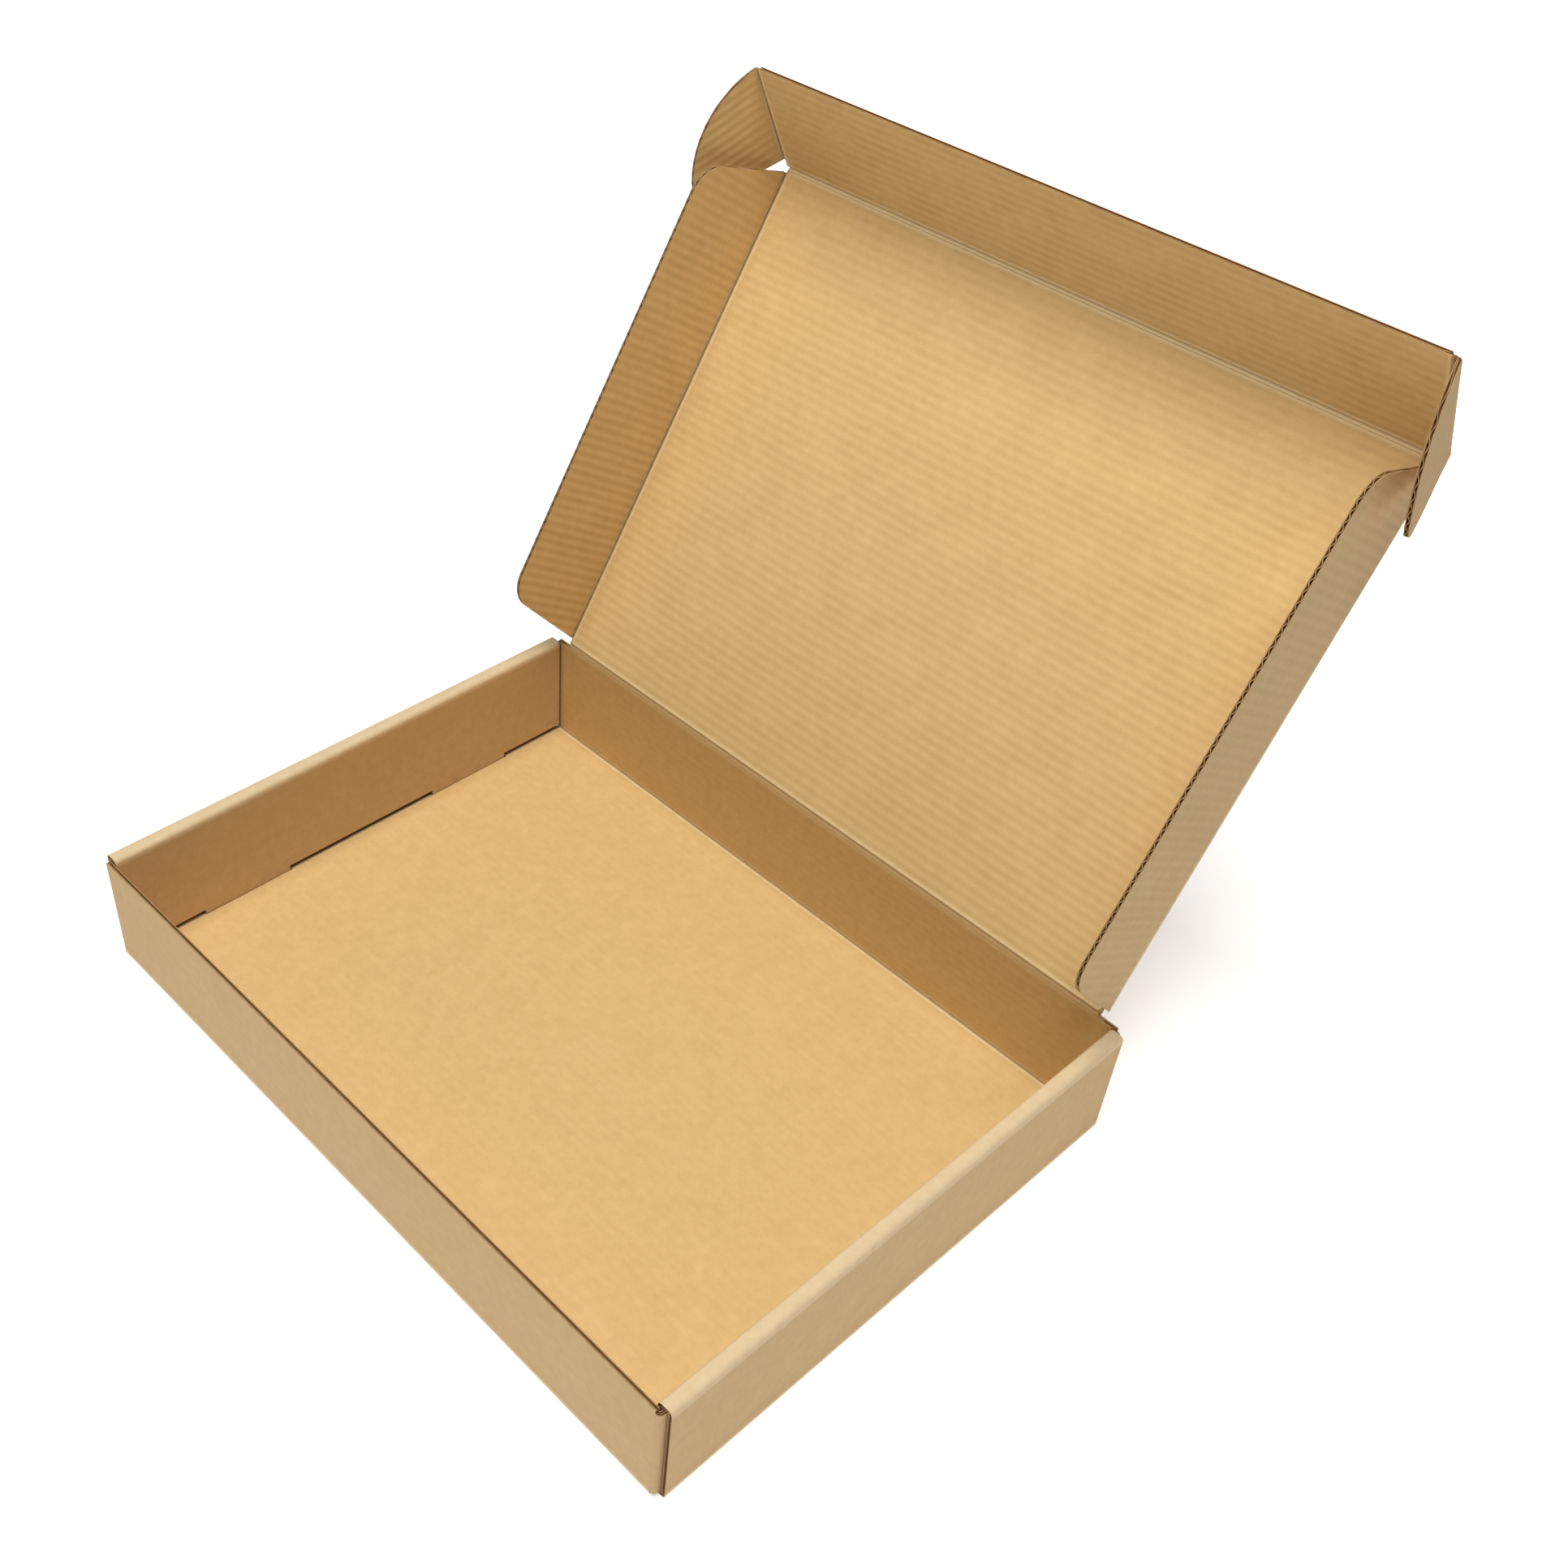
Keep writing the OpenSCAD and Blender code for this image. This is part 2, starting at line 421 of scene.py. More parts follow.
@dataclass(frozen=True)
class Sweep:
    """Places along a sweep, the tilt of the sheet at each, and how near each is to a crease."""

    places: np.ndarray
    tilts: np.ndarray
    creases: np.ndarray

    @staticmethod
    def plain(places: Sequence[float]) -> "Sweep":
        """Sweep with cut ends."""
        found = np.array(sorted(places))
        return Sweep(found, np.zeros(len(found)), np.zeros(len(found)))

    @staticmethod
    def creased(places: Sequence[float], crush: float, nosed: bool) -> "Sweep":
        """Sweep whose two ends lie at creases.

        Args:
            places: places along the sweep.
            crush: length at each end over which the flutes are pressed flat.
            nosed: whether the sheet rounds over at both ends.

        Returns:
            The sweep.
        """
        low, high = min(places), max(places)
        inner = {low + crush / 2, low + crush, high - crush, high - crush / 2}
        found = np.array(sorted(set(places) | inner))
        tilts = np.zeros(len(found))
        if nosed:
            turn = np.linspace(0, math.pi / 2, Track.NOSE_STEPS + 1)[1:]
            found = np.concatenate([[low] * len(turn), found, [high] * len(turn)])
            tilts = np.concatenate([-turn[::-1], tilts, turn])
        gap = np.minimum(found - low, high - found)
        return Sweep(found, tilts, np.clip(1 - gap / crush, 0, 1))


@dataclass
class SheetGrid:
    """Grid of points on the middle plane of a board, with what its sheets need at each point."""

    points: np.ndarray
    facing: np.ndarray
    across: np.ndarray
    along: np.ndarray
    crease: np.ndarray
    keep: np.ndarray

    @staticmethod
    def swept(
        axes: Axes,
        track: Track,
        sweep: Sweep,
        flutes: Flutes,
        reach: Callable[[float], float] | None = None,
        keep: Keep | None = None,
        crest: float = 0.0,
    ) -> "SheetGrid":
        """Sweeps a section's line into a grid.

        Args:
            axes: frame of the stretch of board.
            track: line through the section.
            sweep: places along the sweep.
            flutes: which way the flutes run.
            reach: share of the line's length that is kept at a place along the sweep.
            keep: picks the faces that are kept, by their middles.
            crest: distance, across the flutes, of a crest on the inner liner.

        Returns:
            The grid.
        """
        line = np.array(track.points)
        normals = track.facings()
        scale = np.array([reach(v) if reach else 1.0 for v in sweep.places])
        out = line[:, None, 0] * scale[None, :]
        points = (
            axes.origin
            + out[..., None] * axes.out
            + line[:, None, 1, None] * axes.inside
            + sweep.places[None, :, None] * axes.sweep
        )
        flat = normals[:, 0, None] * axes.out + normals[:, 1, None] * axes.inside
        tilts = sweep.tilts[None, :, None]
        facing = np.cos(tilts) * flat[:, None, :] + np.sin(tilts) * axes.sweep
        runs = np.array(track.runs)[:, None] * scale[None, :]
        places = np.broadcast_to(sweep.places[None, :], runs.shape)
        crease = np.maximum(track.creases()[:, None], sweep.creases[None, :])
        middles = (points[:-1, :-1] + points[1:, :-1] + points[:-1, 1:] + points[1:, 1:]) / 4
        kept = keep(middles) if keep else np.ones(middles.shape[:2], bool)
        across, along = (runs, places) if flutes is Flutes.ALONG_SWEEP else (places, runs)
        return SheetGrid(points, facing, across - crest, along, crease, kept)


@dataclass(frozen=True)
class SheetForm:
    """How one sheet of a board lies: its distance from the middle, its wave and its thickness."""

    lift: float
    wave: float
    thickness: float


class NodeWriter:
    """Short ways to write nodes into a tree."""

    def __init__(self, tree: bpy.types.NodeTree) -> None:
        """Takes the tree that is written to."""
        self.tree = tree

    def add(self, kind: str, values: dict[str, object] | None = None, **settings: object) -> bpy.types.Node:
        """Adds a node.

        Args:
            kind: the node's type.
            values: values or source sockets, by the names of the node's inputs.
            settings: the node's own settings.

        Returns:
            The node.
        """
        node = self.tree.nodes.new(kind)
        for name, value in settings.items():
            setattr(node, name, value)
        for name, value in (values or {}).items():
            self.feed(node.inputs[name], value)
        return node

    def feed(self, socket: bpy.types.NodeSocket, value: object) -> None:
        """Links a socket to an input, or sets the input's value.

        Args:
            socket: the input.
            value: a source socket or a plain value.
        """
        if isinstance(value, bpy.types.NodeSocket):
            self.tree.links.new(value, socket)
        else:
            socket.default_value = value

    def math(
        self, operation: str, first: object, second: object = 0.0, clamp: bool = False
    ) -> bpy.types.NodeSocket:
        """Adds a Math node and gives its output.

        Args:
            operation: the node's operation.
            first: a source socket or a number.
            second: a source socket or a number.
            clamp: whether the result is kept between 0 and 1.

        Returns:
            The node's output.
        """
        node = self.add("ShaderNodeMath", operation=operation, use_clamp=clamp)
        self.feed(node.inputs[0], first)
        self.feed(node.inputs[1], second)
        return node.outputs[0]

    def mix(self, share: object, first: object, second: object) -> bpy.types.NodeSocket:
        """Adds a colour mix and gives its output.

        Args:
            share: how much of the second colour shows.
            first: a source socket or a colour.
            second: a source socket or a colour.

        Returns:
            The mixed colour's socket.
        """
        node = self.add("ShaderNodeMix", data_type="RGBA")
        self.feed(node.inputs["Factor"], share)
        colours = [socket for socket in node.inputs if socket.type == "RGBA"]
        self.feed(colours[0], first)
        self.feed(colours[1], second)
        return next(socket for socket in node.outputs if socket.type == "RGBA")

    def noise(self, vector: object, scale: float, detail: float) -> bpy.types.NodeSocket:
        """Adds a noise texture and gives its value."""
        node = self.add("ShaderNodeTexNoise", {"Vector": vector, "Scale": scale, "Detail": detail})
        return node.outputs["Fac"]

    def spread(self, value: object, low: float, high: float) -> bpy.types.NodeSocket:
        """Stretches the values between low and high to 0 and 1."""
        node = self.add("ShaderNodeMapRange", {"Value": value, "From Min": low, "From Max": high})
        return node.outputs["Result"]


class Corrugator:
    """Geometry Nodes tree that lays a flat grid out as one sheet of corrugated board."""

    FLAT_AT_CREASE = 0.8
    UNEVEN_SCALE = 16.0
    UNEVEN_DETAIL = 1.0

    def __init__(self) -> None:
        """Builds the tree once, for all sheets."""
        self.tree = bpy.data.node_groups.new("Corrugate", "GeometryNodeTree")
        face = self.tree.interface
        face.new_socket("Geometry", in_out="OUTPUT", socket_type="NodeSocketGeometry")
        face.new_socket("Geometry", in_out="INPUT", socket_type="NodeSocketGeometry")
        for name in ("Pitch", "Wave Height", "Lift", "Unevenness", "Seed"):
            face.new_socket(name, in_out="INPUT", socket_type="NodeSocketFloat")
        face.new_socket("Material", in_out="INPUT", socket_type="NodeSocketMaterial")
        self._fill(NodeWriter(self.tree))

    @staticmethod
    def _attribute(write: NodeWriter, name: str, kind: str) -> bpy.types.NodeSocket:
        """Adds a node that reads a named attribute, and gives its output."""
        node = write.add("GeometryNodeInputNamedAttribute", {"Name": name}, data_type=kind)
        return node.outputs["Attribute"]

    def _fill(self, write: NodeWriter) -> None:
        """Writes the nodes: the height of the wave at each point, and the move along its facing.

        Args:
            write: writer of the tree's nodes.
        """
        given = write.add("NodeGroupInput").outputs
        turns = write.math("DIVIDE", self._attribute(write, "across", "FLOAT"), given["Pitch"])
        wave = write.math("COSINE", write.math("MULTIPLY", turns, math.tau))
        crease = self._attribute(write, "crease", "FLOAT")
        flatness = write.math("SUBTRACT", 1.0, write.math("MULTIPLY", crease, self.FLAT_AT_CREASE))
        height = write.math("MULTIPLY", write.math("MULTIPLY", wave, given["Wave Height"]), flatness)
        place = write.add("GeometryNodeInputPosition").outputs["Position"]
        noise = write.add(
            "ShaderNodeTexNoise",
            {"Vector": place, "W": given["Seed"], "Scale": self.UNEVEN_SCALE, "Detail": self.UNEVEN_DETAIL},
            noise_dimensions="4D",
        )
        swell = write.math("SUBTRACT", noise.outputs["Fac"], NOISE_MIDDLE)
        swell = write.math("MULTIPLY", swell, given["Unevenness"])
        swell = write.math("MULTIPLY", swell, write.math("SUBTRACT", 1.0, crease))
        offset = write.math("ADD", write.math("ADD", height, given["Lift"]), swell)
        facing = self._attribute(write, "facing", "FLOAT_VECTOR")
        move = write.add("ShaderNodeVectorMath", {"Vector": facing, "Scale": offset}, operation="SCALE")
        laid = write.add(
            "GeometryNodeSetPosition", {"Geometry": given["Geometry"], "Offset": move.outputs["Vector"]}
        )
        realized = write.add("GeometryNodeRealizeInstances", {"Geometry": laid.outputs["Geometry"]})
        painted = write.add(
            "GeometryNodeSetMaterial",
            {"Geometry": realized.outputs["Geometry"], "Material": given["Material"]},
        )
        write.add("NodeGroupOutput", {"Geometry": painted.outputs["Geometry"]})

    def lay(self, obj: bpy.types.Object, values: dict[str, object]) -> None:
        """Puts the tree on an object and sets its inputs.

        Args:
            obj: the grid's object.
            values: the value of each input, by the input's name.
        """
        modifier = obj.modifiers.new("Corrugate", "NODES")
        modifier.node_group = self.tree
        for item in self.tree.interface.items_tree:
            if item.in_out == "INPUT" and item.name in values:
                modifier[item.identifier] = values[item.name]


def srgb(colour: Rgb) -> tuple[float, float, float, float]:
    """Linear colour of a colour that is written as 0 to 255 on a screen."""
    linear = Color([part / SCREEN_WHITE for part in colour]).from_srgb_to_scene_linear()
    return (*linear, 1.0)


class PaperGroups:
    """Shader node groups that every paper finish uses.

    Each noise has its scale and its level of detail, and each range is stretched to 0 and 1.
    """

    CLOUDS = (45.0, 3.0)
    BLOTCHES = (260.0, 4.0)
    FIBRES = (1.0, 3.0)
    FLECKS = (900.0, 2.0)
    PATCHES = (70.0, 3.0)
    BREAKS = (320.0, 3.0)
    FIBRE_STRETCH = (2600.0, 420.0, 1.0)
    FLECK_RANGE = (0.66, 0.74)
    TONE_RANGE = (0.25, 0.95)
    PATCH_RANGE = (0.3, 0.7)
    RIDGE_RANGE = (0.2, 0.8)
    VALLEY_RANGE = (0.82, 0.97)
    BLOTCH_TONE = 0.7
    FIBRE_TONE = 0.5
    BLOTCH_HEIGHT = 0.6
    BLOTCH_ROUGHNESS = 0.2
    LEAST_ROUGHNESS = 0.72
    LEAST_RIDGE = 0.55
    BROKEN_RIDGE = 0.9

    def __init__(self) -> None:
        """Builds the groups once."""
        self.fibres = self._fibres()
        self.flute_print_and_shade = self._flute_print_and_shade()
        self.wear_and_shade = self._wear_and_shade()

    @staticmethod
    def _new(name: str, inputs: dict[str, str], outputs: dict[str, str]) -> bpy.types.NodeTree:
        """Makes an empty group with its sockets.

        Args:
            name: the group's name.
            inputs: socket types by name.
            outputs: socket types by name.

        Returns:
            The group.
        """
        tree = bpy.data.node_groups.new(name, "ShaderNodeTree")
        for direction, sockets in (("INPUT", inputs), ("OUTPUT", outputs)):
            for socket, kind in sockets.items():
                tree.interface.new_socket(socket, in_out=direction, socket_type=kind)
        return tree

    def _fibres(self) -> bpy.types.NodeTree:
        """Group that mottles a paper's colour with clouds, blotches, fibres and flecks.

        Returns:
            The group.
        """
        colour, value = "NodeSocketColor", "NodeSocketFloat"
        tree = self._new(
            "Paper Fibres",
            {"Light": colour, "Dark": colour, "Clouds": value, "Flecks": value},
            {"Color": colour, "Height": value, "Roughness": value},
        )
        write = NodeWriter(tree)
        given = write.add("NodeGroupInput").outputs
        result = write.add("NodeGroupOutput").inputs
        body = write.add("ShaderNodeTexCoord").outputs["Object"]
        sheet = write.add("ShaderNodeAttribute", attribute_name="sheet").outputs["Vector"]
        clouds = write.noise(body, *self.CLOUDS)
        blotches = write.noise(body, *self.BLOTCHES)
        stretched = write.add("ShaderNodeMapping", {"Vector": sheet, "Scale": self.FIBRE_STRETCH})
        fibres = write.noise(stretched.outputs["Vector"], *self.FIBRES)
        flecks = write.spread(write.noise(body, *self.FLECKS), *self.FLECK_RANGE)
        wide = write.math("MULTIPLY", write.math("SUBTRACT", clouds, NOISE_MIDDLE), given["Clouds"])
        tone = write.math("ADD", wide, write.math("MULTIPLY", blotches, self.BLOTCH_TONE))
        tone = write.math("ADD", tone, write.math("MULTIPLY", fibres, self.FIBRE_TONE))
        tone = write.spread(tone, *self.TONE_RANGE)
        plain = write.mix(tone, given["Dark"], given["Light"])
        share = write.math("MULTIPLY", flecks, given["Flecks"])
        write.feed(result["Color"], write.mix(share, plain, given["Dark"]))
        raised = write.math("MULTIPLY", blotches, self.BLOTCH_HEIGHT)
        write.feed(result["Height"], write.math("ADD", fibres, raised))
        rough = write.math("MULTIPLY", blotches, self.BLOTCH_ROUGHNESS)
        write.feed(result["Roughness"], write.math("ADD", self.LEAST_ROUGHNESS, rough))
        return tree

    def _flute_print_and_shade(self) -> bpy.types.NodeTree:
        """Group that darkens a liner in patches between the flutes, as their print shows through it and as
        painted shade of the washboard.

        Returns:
            The group.
        """
        colour, value = "NodeSocketColor", "NodeSocketFloat"
        tree = self._new(
            "Flute Print And Shade",
            {"Color": colour, "Shade": colour, "Amount": value},
            {"Color": colour},
        )
        write = NodeWriter(tree)
        given = write.add("NodeGroupInput").outputs
        result = write.add("NodeGroupOutput").inputs
        body = write.add("ShaderNodeTexCoord").outputs["Object"]
        trough = write.add("ShaderNodeAttribute", attribute_name="trough").outputs["Fac"]
        patches = write.spread(write.noise(body, *self.PATCHES), *self.PATCH_RANGE)
        share = write.math("MULTIPLY", write.math("MULTIPLY", trough, patches), given["Amount"], clamp=True)
        write.feed(result["Color"], write.mix(share, given["Color"], given["Shade"]))
        return tree

    def _wear_and_shade(self) -> bpy.types.NodeTree:
        """Group that tints a paper where a fold has worked it: paler on the ridge, where the fold stretches
        the paper and partly as a painted highlight, and darker in the valley as painted shade.

        Returns:
            The group.
        """
        colour, value = "NodeSocketColor", "NodeSocketFloat"
        tree = self._new(
            "Crease Wear And Shade",
            {
                "Color": colour,
                "Ridge": colour,
                "Ridge Amount": value,
                "Valley": colour,
                "Valley Amount": value,
            },
            {"Color": colour},
        )
        write = NodeWriter(tree)
        given = write.add("NodeGroupInput").outputs
        result = write.add("NodeGroupOutput").inputs
        body = write.add("ShaderNodeTexCoord").outputs["Object"]
        crease = write.add("ShaderNodeAttribute", attribute_name="crease").outputs["Fac"]
        broken = write.math("MULTIPLY", write.noise(body, *self.BREAKS), self.BROKEN_RIDGE)
        broken = write.math("ADD", self.LEAST_RIDGE, broken)
        # Paler on the ridge: stretched paper, partly a painted highlight.
        ridge = write.math("MULTIPLY", write.spread(crease, *self.RIDGE_RANGE), broken)
        ridge = write.math("MULTIPLY", ridge, given["Ridge Amount"], clamp=True)
        # Darker in the valley: painted shade of the groove, and under the rolled walls painted shade on the
        # floor.
        valley = write.spread(crease, *self.VALLEY_RANGE)
        valley = write.math("MULTIPLY", valley, given["Valley Amount"], clamp=True)
        raised = write.mix(ridge, given["Color"], given["Ridge"])
        write.feed(result["Color"], write.mix(valley, raised, given["Valley"]))
        return tree


@dataclass(frozen=True)
class PaperFinish:
    """Finish of one kind of paper: its two tones, its tones at a fold, where the ridge tone is partly a
    painted highlight and the valley tone is painted shade, and how much each effect shows.
    """

    name: str
    light: Rgb
    dark: Rgb
    # Tones at a fold: the ridge is paler where the fold stretches the paper and partly a painted highlight;
    # the valley is painted shade.
    ridge: Rgb
    valley: Rgb
    ridge_amount: float = 0.5
    valley_amount: float = 0.0
    # The trough tone: the flutes' print, partly painted shade of the washboard.
    shade: Rgb = (150, 112, 62)
    print_and_shade_amount: float = 0.0
    clouds: float = 0.22
    flecks: float = 0.3
    bump: float = 0.12
    bump_depth: float = 0.05 * MM
    specular: float = 0.25

    def material(self, groups: PaperGroups) -> bpy.types.Material:
        """Builds the material.

        Args:
            groups: the shared shader node groups.

        Returns:
            The material.
        """
        made = bpy.data.materials.new(self.name)
        made.use_nodes = True
        made.node_tree.nodes.clear()
        write = NodeWriter(made.node_tree)
        fibres = write.add(
            "ShaderNodeGroup",
            {
                "Light": srgb(self.light),
                "Dark": srgb(self.dark),
                "Clouds": self.clouds,
                "Flecks": self.flecks,
            },
            node_tree=groups.fibres,
        )
        flutes = write.add(
            "ShaderNodeGroup",
            {"Color": fibres.outputs["Color"], "Shade": srgb(self.shade), "Amount": self.print_and_shade_amount},
            node_tree=groups.flute_print_and_shade,
        )
        wear_and_shade = write.add(
            "ShaderNodeGroup",
            {
                "Color": flutes.outputs["Color"],
                "Ridge": srgb(self.ridge),
                "Ridge Amount": self.ridge_amount,
                "Valley": srgb(self.valley),
                "Valley Amount": self.valley_amount,
            },
            node_tree=groups.wear_and_shade,
        )
        bump = write.add(
            "ShaderNodeBump",
            {"Height": fibres.outputs["Height"], "Strength": self.bump, "Distance": self.bump_depth},
        )
        shader = write.add(
            "ShaderNodeBsdfPrincipled",
            {
                "Base Color": wear_and_shade.outputs["Color"],
                "Roughness": fibres.outputs["Roughness"],
                "Normal": bump.outputs["Normal"],
                "Specular IOR Level": self.specular,
            },
        )
        output = write.add("ShaderNodeOutputMaterial")
        write.feed(output.inputs["Surface"], shader.outputs["BSDF"])
        return made


class Papers:
    """The papers of the board, with a material for each sheet and for its cut edges."""

    # Inside liner: the ridge tone is paler where folds stretch the paper and partly a painted highlight; the
    # valley tone is painted shade in the inner folds and on the floor under the rolled walls; the print tone
    # is the flutes' print and partly painted shade of the washboard.
    INSIDE = PaperFinish(
        "kraft_inside",
        light=(221, 188, 131),
        dark=(203, 169, 111),
        ridge=(240, 217, 168),
        valley=(126, 84, 40),
        ridge_amount=0.6,
        valley_amount=0.6,
        print_and_shade_amount=0.18,
    )
    # Outside liner: the ridge tone is paler on the rolled tops and folded corners, from stretched paper and
    # partly a painted highlight; the print tone is the flutes' print and partly painted shade of the
    # washboard.
    OUTSIDE = PaperFinish(
        "kraft_outside",
        light=(211, 180, 133),
        dark=(193, 161, 115),
        ridge=(236, 215, 178),
        valley=(226, 200, 158),
        print_and_shade_amount=0.1,
    )
    # Fluting paper, darker than the liners: partly its own tone, partly painted shade of the open flutes and
    # of the slits at the corners.
    MEDIUM = PaperFinish(
        "fluting_paper",
        light=(132, 94, 54),
        dark=(98, 66, 36),
        ridge=(136, 96, 56),
        valley=(122, 84, 46),
    )
    # Cut edges, darker than the liners: partly the paper's own tone, partly painted shade of the raw edges
    # and of the slits at the corners.
    CUT = PaperFinish(
        "cut_paper",
        light=(188, 152, 104),
        dark=(142, 102, 60),
        ridge=(176, 140, 94),
        valley=(142, 102, 60),
    )

    def __init__(self) -> None:
        """Builds the materials once."""
        groups = PaperGroups()
        self.cut = self.CUT.material(groups)
        self.sheets = {
            Layer.OUTER: self.OUTSIDE.material(groups),
            Layer.FLUTES: self.MEDIUM.material(groups),
            Layer.INNER: self.INSIDE.material(groups),
        }


@dataclass
class Workshop:
    """What every panel is made with: the box's sizes, its papers and the tree that lays sheets out."""

    sizes: BoxSizes
    papers: Papers
    corrugator: Corrugator
    unevenness: float = 0.16 * MM
    smooth_angle: float = 40

    def sheet(
        self, name: str, layer: Layer, form: SheetForm, grids: Sequence[SheetGrid]
    ) -> bpy.types.Object:
        """Makes one sheet of paper from its grids.

        Args:
            name: the piece's name.
            layer: which sheet of the board it is.
            form: how the sheet lies.
            grids: the grids that it covers.

        Returns:
            The finished object, as a plain mesh.
        """
        depth = 0.0 if layer is Layer.FLUTES else form.wave / self.sizes.washboard
        mesh = self._flat(name, grids, depth)
        for material in (self.papers.sheets[layer], self.papers.cut):
            mesh.materials.append(material)
        obj = bpy.data.objects.new(name, mesh)
        bpy.context.scene.collection.objects.link(obj)
        values = {
            "Pitch": self.sizes.flute_pitch,
            "Wave Height": form.wave,
            "Lift": form.lift,
            "Unevenness": self.unevenness,
            "Seed": float(SEED),
            "Material": self.papers.sheets[layer],
        }
        self.corrugator.lay(obj, values)
        solid = obj.modifiers.new("Thickness", "SOLIDIFY")
        solid.thickness = form.thickness
        solid.offset = 0.0
        solid.material_offset_rim = 1
        self._settle(obj)
        return obj

    def _flat(self, name: str, grids: Sequence[SheetGrid], depth: float) -> bpy.types.Mesh:
        """Mesh of the grids, with the attributes that the tree and the materials read.

        Args:
            name: the mesh's name.
            grids: the grids to join.
            depth: how deep the flutes' print, with its painted shade of the washboard, is in the sheet, as a
                share of the lid's.

        Returns:
            The mesh.
        """
        faces, first = [], 0
        for grid in grids:
            rows, columns = grid.across.shape
            index = first + np.arange(rows * columns).reshape(rows, columns)
            corners = (index[:-1, :-1], index[:-1, 1:], index[1:, 1:], index[1:, :-1])
            faces.append(np.stack(corners, axis=-1)[grid.keep])
            first += rows * columns
        points = np.concatenate([grid.points.reshape(-1, 3) for grid in grids])
        facing = np.concatenate([grid.facing.reshape(-1, 3) for grid in grids])
        across = np.concatenate([grid.across.ravel() for grid in grids])
        along = np.concatenate([grid.along.ravel() for grid in grids])
        crease = np.concatenate([grid.crease.ravel() for grid in grids])
        quads = np.concatenate(faces)
        used, packed = np.unique(quads, return_inverse=True)
        mesh = bpy.data.meshes.new(name)
        mesh.from_pydata(points[used].tolist(), [], packed.reshape(-1, 4).tolist())
        sheet = np.stack([across, along, np.zeros(len(across))], axis=1)
        # The troughs carry the flutes' print and painted shade of the washboard.
        trough = depth * (1 - np.cos(math.tau * across / self.sizes.flute_pitch)) / 2
        for label, kind, values in (
            ("across", "FLOAT", across),
            ("crease", "FLOAT", crease),
            ("trough", "FLOAT", trough),
            ("facing", "FLOAT_VECTOR", facing),
            ("sheet", "FLOAT_VECTOR", sheet),
        ):
            attribute = mesh.attributes.new(label, kind, "POINT")
            key = "value" if kind == "FLOAT" else "vector"
            attribute.data.foreach_set(key, values[used].astype(np.float32).ravel())
        return mesh

    def _settle(self, obj: bpy.types.Object) -> None:
        """Turns an object with modifiers into a plain, smooth mesh.

        Args:
            obj: the object.
        """
        graph = bpy.context.evaluated_depsgraph_get()
        settled = bpy.data.meshes.new_from_object(obj.evaluated_get(graph))
        flat = obj.data
        obj.modifiers.clear()
        obj.data = settled
        bpy.data.meshes.remove(flat)
        settled.name = obj.name
        for label in ("across", "facing"):
            settled.attributes.remove(settled.attributes[label])
        settled.shade_smooth()
        settled.set_sharp_from_angle(angle=math.radians(self.smooth_angle))

    def form(self, layer: Layer, washboard: float) -> SheetForm:
        """How a sheet lies in the board.

        Args:
            layer: which sheet.
            washboard: height of the flutes' print in the liners.

        Returns:
            The sheet's form.
        """
        sizes = self.sizes
        if layer is Layer.FLUTES:
            return SheetForm(0.0, sizes.wave_height, sizes.medium_t)
        side = 1 if layer is Layer.INNER else -1
        return SheetForm(side * sizes.liner_lift, washboard, sizes.liner_t)


@dataclass
class Panel:
    """A stretch of board on one body, made as three sheets of paper."""

    name: str
    body: str
    node: str
    slot: str
    shop: Workshop
    axes: Axes
    washboard: float = 0.015 * MM
    fold_setback: float = 0.5 * MM
    crushed: float = 1.0 * MM
    row_step: float = 6.0 * MM
    flute_steps: int = 8

    @property
    def sizes(self) -> BoxSizes:
        """Sizes of the box."""
        return self.shop.sizes

    @property
    def fine_step(self) -> float:
        """Distance between samples across the flutes."""
        return self.sizes.flute_pitch / self.flute_steps

    def setback(self, layer: Layer) -> float:
        """How far a sheet stops short of a turning crease."""
        return {Layer.OUTER: self.fold_setback, Layer.FLUTES: self.crushed, Layer.INNER: 0.0}[layer]

    def track(self, start: tuple[float, float], heading: float, step: float) -> Track:
        """Puts a pen down in the section."""
        return Track(start, heading, step, self.sizes.flute_crush)

    def fine_places(self, low: float, high: float) -> np.ndarray:
        """Places from low to high, close enough to follow the flutes."""
        return np.linspace(low, high, max(2, round((high - low) / self.fine_step)) + 1)

    def grids(self, layer: Layer) -> list[SheetGrid]:
        """Grids that one sheet of the panel covers."""
        raise NotImplementedError

    def build(self) -> None:
        """Makes the three sheets and hands them to their body."""
        for layer in Layer:
            form = self.shop.form(layer, self.washboard)
            piece = self.shop.sheet(f"{self.name}_{layer.value}", layer, form, self.grids(layer))
            self.dress(piece)

    def dress(self, piece: bpy.types.Object) -> None:
        """Puts a sheet on the body that it rides on and hides the solid that it stands for.

        Args:
            piece: the sheet's object.
        """
        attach(piece, self.body)
        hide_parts(self.node)
        piece.data.calc_loop_triangles()
        LOG.info("%s: %d triangles on %s", piece.name, len(piece.data.loop_triangles), self.body)


